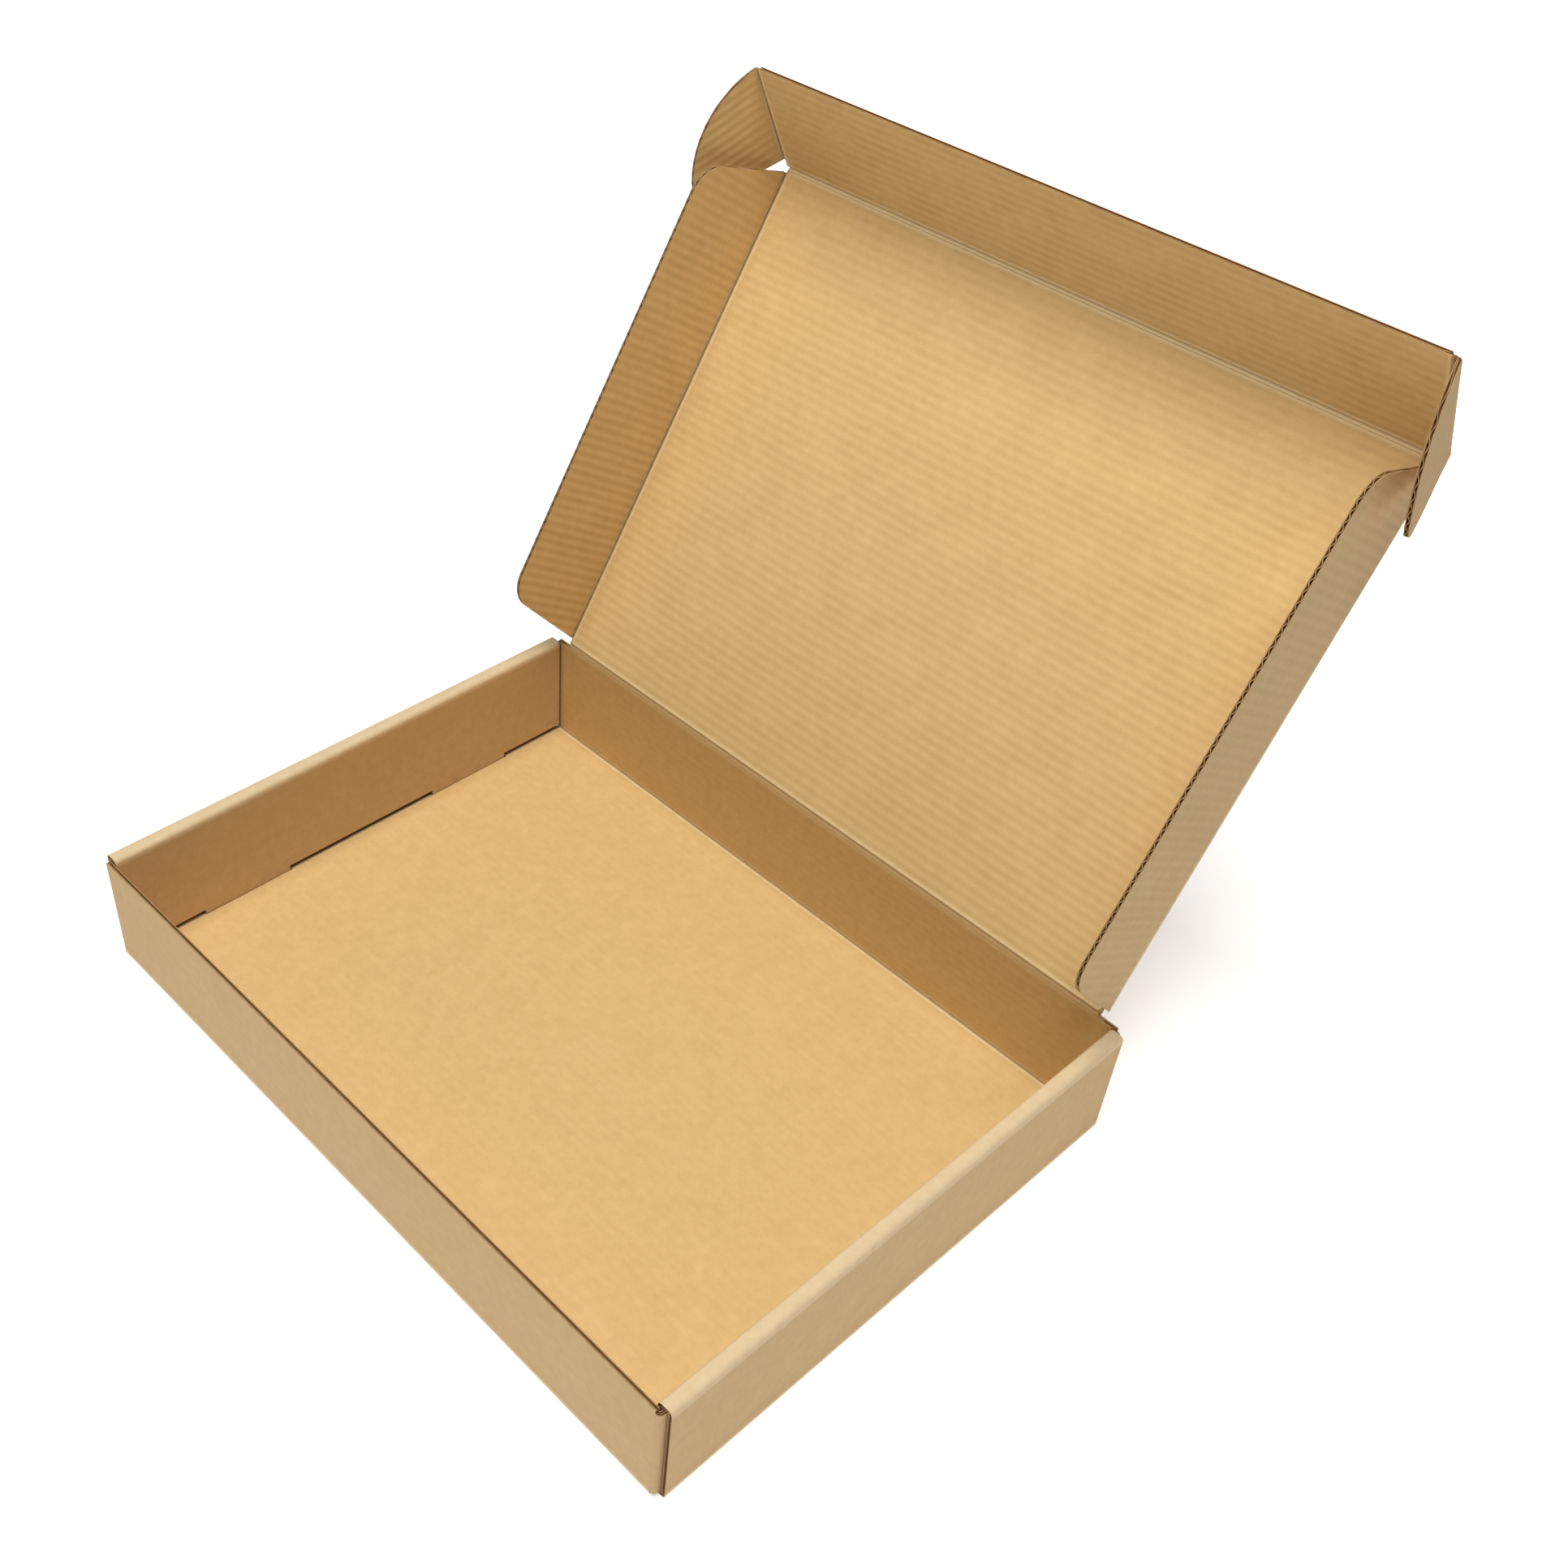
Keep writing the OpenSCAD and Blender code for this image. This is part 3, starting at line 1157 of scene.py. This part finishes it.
@dataclass
class TrayBase(Panel):
    """Floor, front wall and back wall, with the raised crease below the lid."""

    columns: int = 16

    def _places(self) -> list[float]:
        """Places across the box, with one at each side of the slots and of the raised crease.

        Returns:
            The places, in no order.
        """
        sizes = self.sizes
        middle = np.linspace(-sizes.flap_out, sizes.flap_out, self.columns + 1)
        slot_in = sizes.roll_in - sizes.tab_side_clear
        edges = (slot_in, sizes.roll_in, sizes.wall_half)
        return [*middle, *edges, *(-edge for edge in edges)]

    def _shadowed(self, places: np.ndarray) -> np.ndarray:
        """Marks the places under the rolled walls as creased, so that the valley tint paints shade on the
        floor there.
        """
        return (np.abs(places) > self.sizes.roll_in - self.sizes.tab_side_clear / 2).astype(float)

    def _kept(self, middles: np.ndarray) -> np.ndarray:
        """Faces outside the floor's slots and outside the steps beside the raised crease.

        Args:
            middles: middles of the grid's faces.

        Returns:
            Whether each face is kept.
        """
        sizes = self.sizes
        x, y, z = np.abs(middles[..., 0]), middles[..., 1], middles[..., 2]
        slot_half = sizes.tab_len / 2 + sizes.tab_end_clear
        at_slot = np.abs(np.abs(y) - sizes.tab_offset) < slot_half
        in_slot = (x > sizes.roll_in - sizes.tab_side_clear) & at_slot & (z < sizes.board_t)
        beside_crease = (x > sizes.flap_out) & (y > 0) & (z > sizes.front_h)
        return ~(in_slot | beside_crease)

    def grids(self, layer: Layer) -> list[SheetGrid]:
        """One grid, from the top of the front wall down, along the floor and up to the crease.

        Args:
            layer: which sheet of the board.

        Returns:
            The grid, in a list.
        """
        sizes = self.sizes
        wall = sizes.front_h - sizes.fold_r
        crest = sizes.hinge_z - sizes.crease_pitch
        front = -sizes.tray_d / 2 + sizes.edge_r
        track = self.track((front, sizes.front_h), -RIGHT_ANGLE, self.fine_step)
        track.straight(wall).fold(sizes.fold_mid_r)
        track.straight(sizes.tray_d - 2 * sizes.fold_r).fold(sizes.fold_mid_r)
        track.straight(wall)
        rise = crest - sizes.front_h - self.setback(layer)
        if rise > 0:
            track.straight(rise)
        track.creased_here()
        sweep = Sweep.plain(self._places())
        if layer is Layer.INNER:
            track.nose(at_start=False)
            # Painted shade on the floor's inner liner under the rolled walls, through the valley tint.
            sweep = replace(sweep, creases=self._shadowed(sweep.places))
        crest = sizes.flute_pitch / 2
        return [SheetGrid.swept(self.axes, track, sweep, Flutes.ALONG_SWEEP, keep=self._kept, crest=crest)]


@dataclass
class RolledWall(Panel):
    """Side wall that goes up outside, over the top and down inside, and ends in two tabs."""

    def _kept(self, middles: np.ndarray) -> np.ndarray:
        """Faces of the wall, and below the inner panel only those of its tabs.

        Args:
            middles: middles of the grid's faces.

        Returns:
            Whether each face is kept.
        """
        sizes = self.sizes
        x, y, z = np.abs(middles[..., 0]), middles[..., 1], middles[..., 2]
        at_tab = np.abs(np.abs(y) - sizes.tab_offset) < sizes.tab_len / 2
        below = (x < sizes.wall_half) & (z < sizes.board_t + sizes.panel_lift)
        return ~below | at_tab

    def grids(self, layer: Layer) -> list[SheetGrid]:
        """One grid, from the floor round to the tabs.

        Args:
            layer: which sheet of the board.

        Returns:
            The grid, in a list.
        """
        sizes = self.sizes
        outside = sizes.tray_w / 2
        flat = outside - sizes.fold_r - sizes.wall_half
        rise = sizes.side_h - 2 * sizes.fold_r
        top = outside - sizes.roll_in - 2 * sizes.fold_r
        drop = sizes.side_h - sizes.fold_r - sizes.board_t - sizes.panel_lift
        tab = sizes.board_t + sizes.panel_lift - sizes.tab_lift
        track = self.track((sizes.wall_half, sizes.edge_r), 0, self.row_step)
        track.straight(flat).fold(sizes.fold_mid_r)
        track.straight(rise).fold(sizes.fold_mid_r)
        track.straight(top).fold(sizes.fold_mid_r)
        track.straight(drop).straight(tab)
        sweep = Sweep.plain(self.fine_places(-sizes.side_half, sizes.side_half))
        crest = -sizes.side_half
        return [SheetGrid.swept(self.axes, track, sweep, Flutes.ALONG_SECTION, keep=self._kept, crest=crest)]


@dataclass
class CornerFlap(Panel):
    """End of the front or back wall, turned back into the space inside a rolled wall."""

    def grids(self, layer: Layer) -> list[SheetGrid]:
        """One grid, round the corner and along the rolled wall.

        Args:
            layer: which sheet of the board.

        Returns:
            The grid, in a list.
        """
        sizes = self.sizes
        front = -sizes.tray_d / 2
        track = self.track((sizes.wall_half, front + sizes.edge_r), 0, self.row_step)
        track.fold(sizes.fold_mid_r, worn_with_painted_light=False).straight(sizes.corner_flap_len - sizes.fold_r)
        low = sizes.board_t + sizes.layer_gap
        sweep = Sweep.plain(self.fine_places(low, sizes.side_h - low))
        return [SheetGrid.swept(self.axes, track, sweep, Flutes.ALONG_SECTION)]


@dataclass
class LidPanel(Panel):
    """The lid, from its hinge to the crease of the tuck flap."""

    columns: int = 16

    def grids(self, layer: Layer) -> list[SheetGrid]:
        """One grid, with rounded noses on the inner liner at its four creases.

        Args:
            layer: which sheet of the board.

        Returns:
            The grid, in a list.
        """
        sizes = self.sizes
        back = self.setback(layer)
        track = self.track((back, 0.0), 0, self.fine_step)
        track.creased_here().straight(sizes.lid_len - 2 * back).creased_here()
        nosed = layer is Layer.INNER
        half = sizes.lid_half - (sizes.liner_lift if nosed else back)
        if nosed:
            track.nose(at_start=True).nose(at_start=False)
        places = np.linspace(-half, half, self.columns + 1)
        sweep = Sweep.creased(places, sizes.flute_crush, nosed)
        return [SheetGrid.swept(self.axes, track, sweep, Flutes.ALONG_SWEEP)]


@dataclass
class TuckFlap(Panel):
    """The flap at the lid's front, with a crease at its root and an ear's crease at each end."""

    columns: int = 48

    def grids(self, layer: Layer) -> list[SheetGrid]:
        """One grid, with rounded noses on the inner liner at its three creases.

        Args:
            layer: which sheet of the board.

        Returns:
            The grid, in a list.
        """
        sizes = self.sizes
        back = self.setback(layer)
        track = self.track((back, 0.0), 0, self.fine_step)
        track.creased_here().straight(sizes.tuck_len - back)
        nosed = layer is Layer.INNER
        half = sizes.tuck_half - back
        if nosed:
            track.nose(at_start=True)
        places = np.linspace(-half, half, self.columns + 1)
        sweep = Sweep.creased(places, sizes.flute_crush, nosed)
        return [SheetGrid.swept(self.axes, track, sweep, Flutes.ALONG_SWEEP)]


@dataclass
class LooseFlap(Panel):
    """A flap that is held along one crease, with the flutes open along its free edge."""

    low: float = 0.0
    high: float = 0.0
    length: float = 0.0
    low_end: PanelEnd = PanelEnd(0, 0)
    high_end: PanelEnd | RoundEnd = PanelEnd(0, 0)
    end_trim: float = 0.1 * MM

    def share(self, place: float) -> float:
        """Share of the flap's length that is kept at a place along its root.

        Args:
            place: distance along the root.

        Returns:
            The share, from 0 to 1.
        """
        low = self.low_end.reach(place - self.low, self.length)
        high = self.high_end.reach(self.high - place, self.length)
        return min(low, high) / self.length

    def grids(self, layer: Layer) -> list[SheetGrid]:
        """One grid that follows the flap's outline, with a nose on the inner liner at its crease.

        Args:
            layer: which sheet of the board.

        Returns:
            The grid, in a list.
        """
        back = self.setback(layer)
        track = self.track((back, 0.0), 0, self.row_step)
        track.creased_here().straight(self.length - back)
        if layer is Layer.INNER:
            track.nose(at_start=True)
        sweep = Sweep.plain(self.fine_places(self.low + self.end_trim, self.high - self.end_trim))
        return [SheetGrid.swept(self.axes, track, sweep, Flutes.ALONG_SECTION, reach=self.share)]


@dataclass
class FoldStrip:
    """Strip of a liner that curves across a turning crease."""

    name: str
    bodies: tuple[str, str]
    slot: str
    layer: Layer
    shop: Workshop
    axes: Axes
    span: tuple[float, float]
    first: np.ndarray
    first_way: np.ndarray
    last: np.ndarray
    last_way: np.ndarray
    steps: int = 10
    columns: int = 24
    # How strongly the whole strip is tinted as a fold: paler, partly a painted highlight.
    worn_with_painted_light: float = 0.7
    groove_shade: float = 0.0

    def _line(self) -> np.ndarray:
        """Smooth line from the first panel's liner to the second's, in the section.

        Returns:
            The line's points.
        """
        ways = np.stack([self.first_way, self.last_way], axis=1)
        ahead = np.linalg.solve(ways, self.last - self.first)[0]
        corner = self.first + ahead * self.first_way
        t = np.linspace(0, 1, self.steps + 1)[:, None]
        return (1 - t) ** 2 * self.first + 2 * t * (1 - t) * corner + t**2 * self.last

    def _creases(self) -> np.ndarray:
        """How strongly the strip is tinted along its line: paler where the fold stretches the paper, partly
        a painted highlight, with painted shade of the groove added along the score in its middle.
        """
        away = np.abs(np.linspace(-1, 1, self.steps + 1))
        return self.worn_with_painted_light + self.groove_shade * (1 - away)

    def build(self) -> None:
        """Makes the strip, curved from the first panel's liner to the second's."""
        line = self._line()
        ahead = np.gradient(line, axis=0)
        ahead /= np.linalg.norm(ahead, axis=1)[:, None]
        facing = np.stack([-ahead[:, 1], ahead[:, 0]], axis=1)
        places = np.linspace(*self.span, self.columns + 1)
        shape = (len(line), len(places))
        axes = self.axes
        flat = line[:, 0, None] * axes.out + line[:, 1, None] * axes.inside
        points = axes.origin + flat[:, None, :] + places[None, :, None] * axes.sweep
        ways = facing[:, 0, None] * axes.out + facing[:, 1, None] * axes.inside
        run = np.concatenate([[0], np.cumsum(np.linalg.norm(np.diff(line, axis=0), axis=1))])
        grid = SheetGrid(
            points,
            np.broadcast_to(ways[:, None, :], points.shape),
            np.broadcast_to(run[:, None], shape),
            np.broadcast_to(places[None, :], shape),
            np.broadcast_to(self._creases()[:, None], shape),
            np.ones((shape[0] - 1, shape[1] - 1), bool),
        )
        form = SheetForm(0.0, 0.0, self.shop.sizes.liner_t)
        piece = self.shop.sheet(self.name, self.layer, form, [grid])
        middle = sum(self.span) / 2
        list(self.bodies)
        tuple(axes.at(middle, *self.first))
        tuple(axes.at(middle, *self.last))
        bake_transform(piece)
        LOG.info("%s bends between %s and %s", self.name, *self.bodies)


class FoldingBox:
    """The whole box: its frames, its panels and the strips across its turning creases."""

    FLAP_WASHBOARD = 0.06 * MM
    WALL_FLUTE_STEPS = 6
    TUCK_OVERLAP = 0.9 * MM
    # Painted shade of the groove along the middle of the tuck's fold strip.
    TUCK_GROOVE_SHADE = 0.3

    def __init__(self, shop: Workshop) -> None:
        """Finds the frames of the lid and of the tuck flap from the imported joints.

        Args:
            shop: what the panels are made with.
        """
        self.shop = shop
        self.sizes = shop.sizes
        joints = {joint["name"]: joint for joint in frame["joints"]}
        self.right = np.array([1.0, 0.0, 0.0])
        self.lid = self._turned(joints["lid_hinge"], joints["flap_fold_left"])
        self.tuck = self._turned(joints["tuck_fold"], joints["ear_fold_right"])

    def _turned(self, hinge: dict, edge: dict) -> Axes:
        """Frame of a panel that turns on a hinge, with its way out along the axis of another joint.

        Args:
            hinge: the joint that the panel turns on.
            edge: the joint whose axis runs along its side.

        Returns:
            The frame.
        """
        out = np.array(edge["axis"], float)
        out /= np.linalg.norm(out)
        return Axes(np.array(hinge["pos_m"], float), self.right, out, np.cross(self.right, out))

    def _world(self, sweep: Sequence[float], out: Sequence[float], inside: Sequence[float]) -> Axes:
        """Frame at the box's origin."""
        return Axes(np.zeros(3), np.array(sweep, float), np.array(out, float), np.array(inside, float))

    def _tray(self) -> list[Panel]:
        """Panels of the tray.

        Returns:
            The panels, with the floor first.
        """
        common = {"body": "tray", "node": "tray", "slot": "tray_board", "shop": self.shop}
        coarse = {"flute_steps": self.WALL_FLUTE_STEPS, **common}
        base = self._world((1, 0, 0), (0, 1, 0), (0, 0, 1))
        panels: list[Panel] = [TrayBase("tray_base", axes=base, **common)]
        for side, way in (("left", -1), ("right", 1)):
            wall = self._world((0, 1, 0), (way, 0, 0), (0, 0, 1))
            panels.append(RolledWall(f"side_wall_{side}", axes=wall, **coarse))
            for end, depth in (("front", 1), ("back", -1)):
                corner = self._world((0, 0, 1), (way, 0, 0), (0, depth, 0))
                panels.append(CornerFlap(f"corner_flap_{end}_{side}", axes=corner, **coarse))
        return panels

    def _flap_axes(self, way: int) -> Axes:
        """Frame of a side flap: swept along the lid, reaching to the inside.

        Args:
            way: 1 for the right side and -1 for the left.

        Returns:
            The frame.
        """
        lid = self.lid
        root = lid.origin + way * (self.sizes.flap_out - self.sizes.edge_r) * self.right
        return Axes(root, lid.out, lid.inside, -way * self.right)

    def _ear_axes(self, way: int) -> Axes:
        """Frame of an ear: swept along the tuck flap, reaching to the inside at the ear's angle.

        Args:
            way: 1 for the right side and -1 for the left.

        Returns:
            The frame.
        """
        tuck = self.tuck
        angle = math.radians(self.sizes.ear_angle)
        outward = way * self.right
        reach = math.cos(angle) * outward + math.sin(angle) * tuck.inside
        facing = -math.sin(angle) * outward + math.cos(angle) * tuck.inside
        return Axes(tuck.origin + self.sizes.ear_x * outward, tuck.out, reach, facing)

    def _lid(self) -> list[Panel]:
        """Panels of the lid: the lid itself, its side flaps, its tuck flap and the ears.

        Returns:
            The panels, with the lid first.
        """
        sizes, shop = self.sizes, self.shop
        deep = self.FLAP_WASHBOARD
        panels: list[Panel] = [
            LidPanel("lid", "lid", "lid_panel", "lid_board", shop, self.lid, washboard=sizes.washboard),
            TuckFlap("tuck", "tuck", "tuck_flap", "tuck_board", shop, self.tuck, washboard=deep),
        ]
        flap_end = PanelEnd(sizes.flap_end_slant, sizes.flap_corner_r)
        for side, way in (("left", -1), ("right", 1)):
            panels.append(
                LooseFlap(
                    f"side_flap_{side}_sheet",
                    f"flap_{side}",
                    f"side_flap_{side}",
                    "flap_board",
                    shop,
                    self._flap_axes(way),
                    low=sizes.edge_r + sizes.flap_end_gap,
                    high=sizes.lid_len - sizes.flap_end_gap,
                    length=sizes.flap_len,
                    low_end=flap_end,
                    high_end=flap_end,
                    washboard=deep,
                )
            )
            panels.append(
                LooseFlap(
                    f"ear_{side}_sheet",
                    f"ear_{side}",
                    f"ear_{side}",
                    "ear_board",
                    shop,
                    self._ear_axes(way),
                    low=sizes.ear_root_gap,
                    high=sizes.ear_top,
                    length=sizes.ear_reach,
                    low_end=PanelEnd(sizes.ear_slant, sizes.ear_tip_r),
                    high_end=RoundEnd(sizes.ear_reach + sizes.ear_round_extra),
                    washboard=deep,
                )
            )
        return panels

    @staticmethod
    def _seen(axes: Axes, point: np.ndarray, way: np.ndarray) -> tuple[np.ndarray, np.ndarray]:
        """A point and a direction in the section of some axes.

        Args:
            axes: the axes.
            point: the point in space.
            way: the direction in space.

        Returns:
            The point and the direction, each as its parts along out and inside.
        """
        offset = point - axes.origin
        place = np.array([offset @ axes.out, offset @ axes.inside])
        return place, np.array([way @ axes.out, way @ axes.inside])

    def _strip(
        self,
        name: str,
        bodies: tuple[str, str],
        slot: str,
        ends: Sequence[tuple[Axes, float]],
        axes: Axes,
        span: tuple[float, float],
        layer: Layer = Layer.OUTER,
        groove_shade: float = 0.0,
    ) -> FoldStrip:
        """Strip between the liners of two panels.

        Args:
            name: the strip's name.
            bodies: the two bodies on either side of its crease, which only the log names.
            slot: the record's material slot, which is not used.
            ends: for each panel its axes and where its liner stops.
            axes: frame in which the strip is swept.
            span: first and last place along the sweep.
            layer: which liner carries on across the fold.
            groove_shade: how much more the strip is marked in its middle, where the valley tint paints the
                shade of the groove.

        Returns:
            The strip.
        """
        lift = self.sizes.liner_lift if layer is Layer.INNER else -self.sizes.liner_lift
        found = []
        for panel, place in ends:
            found += self._seen(axes, panel.at(0, place, lift), panel.out)
        return FoldStrip(name, bodies, slot, layer, self.shop, axes, span, *found, groove_shade=groove_shade)

    def _strips(self) -> list[FoldStrip]:
        """Strips of the outer liner across the six turning creases, and of the inner liner across two.

        Returns:
            The strips, with the hinge's first.
        """
        sizes = self.sizes
        back = Panel.fold_setback
        wall_top = sizes.hinge_z - sizes.crease_pitch - back
        wall = Axes(
            np.array([0.0, sizes.tray_d / 2 - sizes.edge_r, 0.0]),
            self.right,
            np.array([0.0, 0.0, 1.0]),
            np.array([0.0, -1.0, 0.0]),
        )
        lid_half, tuck_half = sizes.lid_half - back, sizes.tuck_half - back
        lid_span = (-lid_half, lid_half)
        strips = [
            self._strip(
                "hinge_fold",
                ("tray", "lid"),
                "lid_board",
                [(wall, wall_top), (self.lid, back)],
                self.lid,
                lid_span,
            ),
            self._strip(
                "hinge_fold_inside",
                ("tray", "lid"),
                "lid_board",
                [(wall, wall_top + back), (self.lid, 0.0)],
                self.lid,
                lid_span,
                Layer.INNER,
            ),
            self._strip(
                "tuck_root_fold_inside",
                ("lid", "tuck"),
                "tuck_board",
                [(self.lid, sizes.lid_len), (self.tuck, self.TUCK_OVERLAP)],
                self.tuck,
                lid_span,
                Layer.INNER,
                self.TUCK_GROOVE_SHADE,
            ),
            self._strip(
                "tuck_root_fold",
                ("lid", "tuck"),
                "tuck_board",
                [(self.lid, sizes.lid_len - back), (self.tuck, back)],
                self.tuck,
                lid_span,
            ),
        ]
        flap_span = (sizes.edge_r + sizes.flap_end_gap, sizes.lid_len - sizes.flap_end_gap)
        ear_span = (sizes.ear_root_gap, sizes.ear_top)
        for side, way in (("left", -1), ("right", 1)):
            outward = way * self.right
            lid_side = Axes(self.lid.origin, self.lid.out, outward, self.lid.inside)
            tuck_side = Axes(self.tuck.origin, self.tuck.out, outward, self.tuck.inside)
            strips.append(
                self._strip(
                    f"side_flap_{side}_fold",
                    ("lid", f"flap_{side}"),
                    "flap_board",
                    [(lid_side, lid_half), (self._flap_axes(way), back)],
                    lid_side,
                    flap_span,
                )
            )
            strips.append(
                self._strip(
                    f"ear_{side}_fold",
                    ("tuck", f"ear_{side}"),
                    "ear_board",
                    [(tuck_side, tuck_half), (self._ear_axes(way), back)],
                    tuck_side,
                    ear_span,
                )
            )
        return strips

    def build(self) -> None:
        """Builds every panel and strip in order."""
        for panel in self._tray() + self._lid():
            panel.build()
        for strip in self._strips():
            strip.build()


@dataclass(frozen=True)
class Viewpoint:
    """Camera at the photograph's viewing angle, with its picture centre in the photograph's pixels."""

    azimuth: float = 43.93
    elevation: float = 42.819
    roll: float = 3.942
    place: tuple[float, float, float] = (298.776 * MM, -276.173 * MM, 460.927 * MM)
    focal_px: float = 2180.73
    centre_px: tuple[float, float] = (833.36, 1058.65)
    nearest: float = 0.01

    def build(self) -> bpy.types.Object:
        """Makes the scene's camera.

        Returns:
            The camera.
        """
        azimuth, elevation, roll = (math.radians(a) for a in (self.azimuth, self.elevation, self.roll))
        back = np.array(
            [
                math.sin(azimuth) * math.cos(elevation),
                -math.cos(azimuth) * math.cos(elevation),
                math.sin(elevation),
            ]
        )
        level = np.array([math.cos(azimuth), math.sin(azimuth), 0.0])
        above = np.cross(back, level)
        right = math.cos(roll) * level + math.sin(roll) * above
        up = math.cos(roll) * above - math.sin(roll) * level
        data = bpy.data.cameras.new("photo_camera")
        data.lens = self.focal_px / PHOTO_PX * data.sensor_width
        data.shift_x = (PHOTO_PX / 2 - self.centre_px[0]) / PHOTO_PX
        data.shift_y = (self.centre_px[1] - PHOTO_PX / 2) / PHOTO_PX
        data.clip_start = self.nearest
        camera = bpy.data.objects.new("photo_camera", data)
        turned = Matrix(np.column_stack([right, up, back]).tolist()).to_4x4()
        camera.matrix_world = Matrix.Translation(self.place) @ turned
        bpy.context.scene.collection.objects.link(camera)
        bpy.context.scene.camera = camera
        return camera


@dataclass(frozen=True)
class SoftBox:
    """A wide, square lamp that hangs above the table and shines straight down."""

    name: str
    place: tuple[float, float, float]
    width: float
    power: float

    def build(self) -> None:
        """Makes the lamp."""
        data = bpy.data.lights.new(self.name, "AREA")
        data.energy = self.power
        data.size = self.width
        lamp = bpy.data.objects.new(self.name, data)
        lamp.location = self.place
        bpy.context.scene.collection.objects.link(lamp)


@dataclass(frozen=True)
class Studio:
    """Plain white surroundings: a soft box above a white table that glows a little, and an even fill."""

    floor_half: float = 8.0
    floor_drop: float = 0.1 * MM
    floor_colour: Rgb = (252, 252, 252)
    floor_glow: float = 0.52
    floor_roughness: float = 0.9
    white_from: float = 0.3
    white_at: float = 0.6
    fill: float = 0.03
    lamp: SoftBox = SoftBox("key_lamp", (0.09, -0.17, 1.2), 0.8, 16.7)

    def build(self) -> None:
        """Makes the lamp, the floor and the world."""
        self.lamp.build()
        self._floor()
        self._world()

    @staticmethod
    def _seen_directly(write: NodeWriter) -> bpy.types.NodeSocket:
        """Tells the camera's own rays, reflected rays and see-through rays from those that carry light.

        Args:
            write: writer of the material's or the world's nodes.

        Returns:
            A socket that is 1 for those rays.
        """
        path = write.add("ShaderNodeLightPath").outputs
        direct = write.math("MAXIMUM", path["Is Camera Ray"], path["Is Glossy Ray"])
        return write.math("MAXIMUM", direct, path["Is Transmission Ray"])

    def _floor(self) -> None:
        """Makes the floor just under the box, which turns plain white to the eye away from it."""
        half, drop = self.floor_half, -self.floor_drop
        mesh = bpy.data.meshes.new("floor")
        corners = [(-half, -half, drop), (half, -half, drop), (half, half, drop), (-half, half, drop)]
        mesh.from_pydata(corners, [], [(0, 1, 2, 3)])
        floor = bpy.data.objects.new("floor", mesh)
        bpy.context.scene.collection.objects.link(floor)
        paint = bpy.data.materials.new("floor_paint")
        paint.use_nodes = True
        write = NodeWriter(paint.node_tree)
        place = write.add("ShaderNodeTexCoord").outputs["Object"]
        away = write.add("ShaderNodeVectorMath", {"Vector": place}, operation="LENGTH").outputs["Value"]
        away = write.spread(away, self.white_from, self.white_at)
        white = write.math("MULTIPLY", away, self._seen_directly(write))
        shader = paint.node_tree.nodes["Principled BSDF"]
        shader.inputs["Base Color"].default_value = srgb(self.floor_colour)
        shader.inputs["Roughness"].default_value = self.floor_roughness
        shader.inputs["Specular IOR Level"].default_value = 0.0
        shader.inputs["Emission Color"].default_value = (1, 1, 1, 1)
        write.feed(shader.inputs["Emission Strength"], write.math("ADD", white, self.floor_glow))
        mesh.materials.append(paint)

    def _world(self) -> None:
        """Makes an even fill, with a white background for the camera and for reflections."""
        world = bpy.data.worlds.new("studio")
        world.use_nodes = True
        bpy.context.scene.world = world
        write = NodeWriter(world.node_tree)
        background = world.node_tree.nodes["Background"]
        background.inputs["Color"].default_value = (1, 1, 1, 1)
        extra = write.math("MULTIPLY", self._seen_directly(write), 1 - self.fill)
        write.feed(background.inputs["Strength"], write.math("ADD", extra, self.fill))


def main() -> None:
    """Builds the box and its surroundings."""
    logging.basicConfig(level=logging.INFO, format="%(name)s: %(message)s")
    bpy.context.scene.view_settings.view_transform = "Standard"
    shop = Workshop(BoxSizes(), Papers(), Corrugator())
    FoldingBox(shop).build()
    Studio().build()
    Viewpoint().build()


if __name__ == "__main__":
    main()
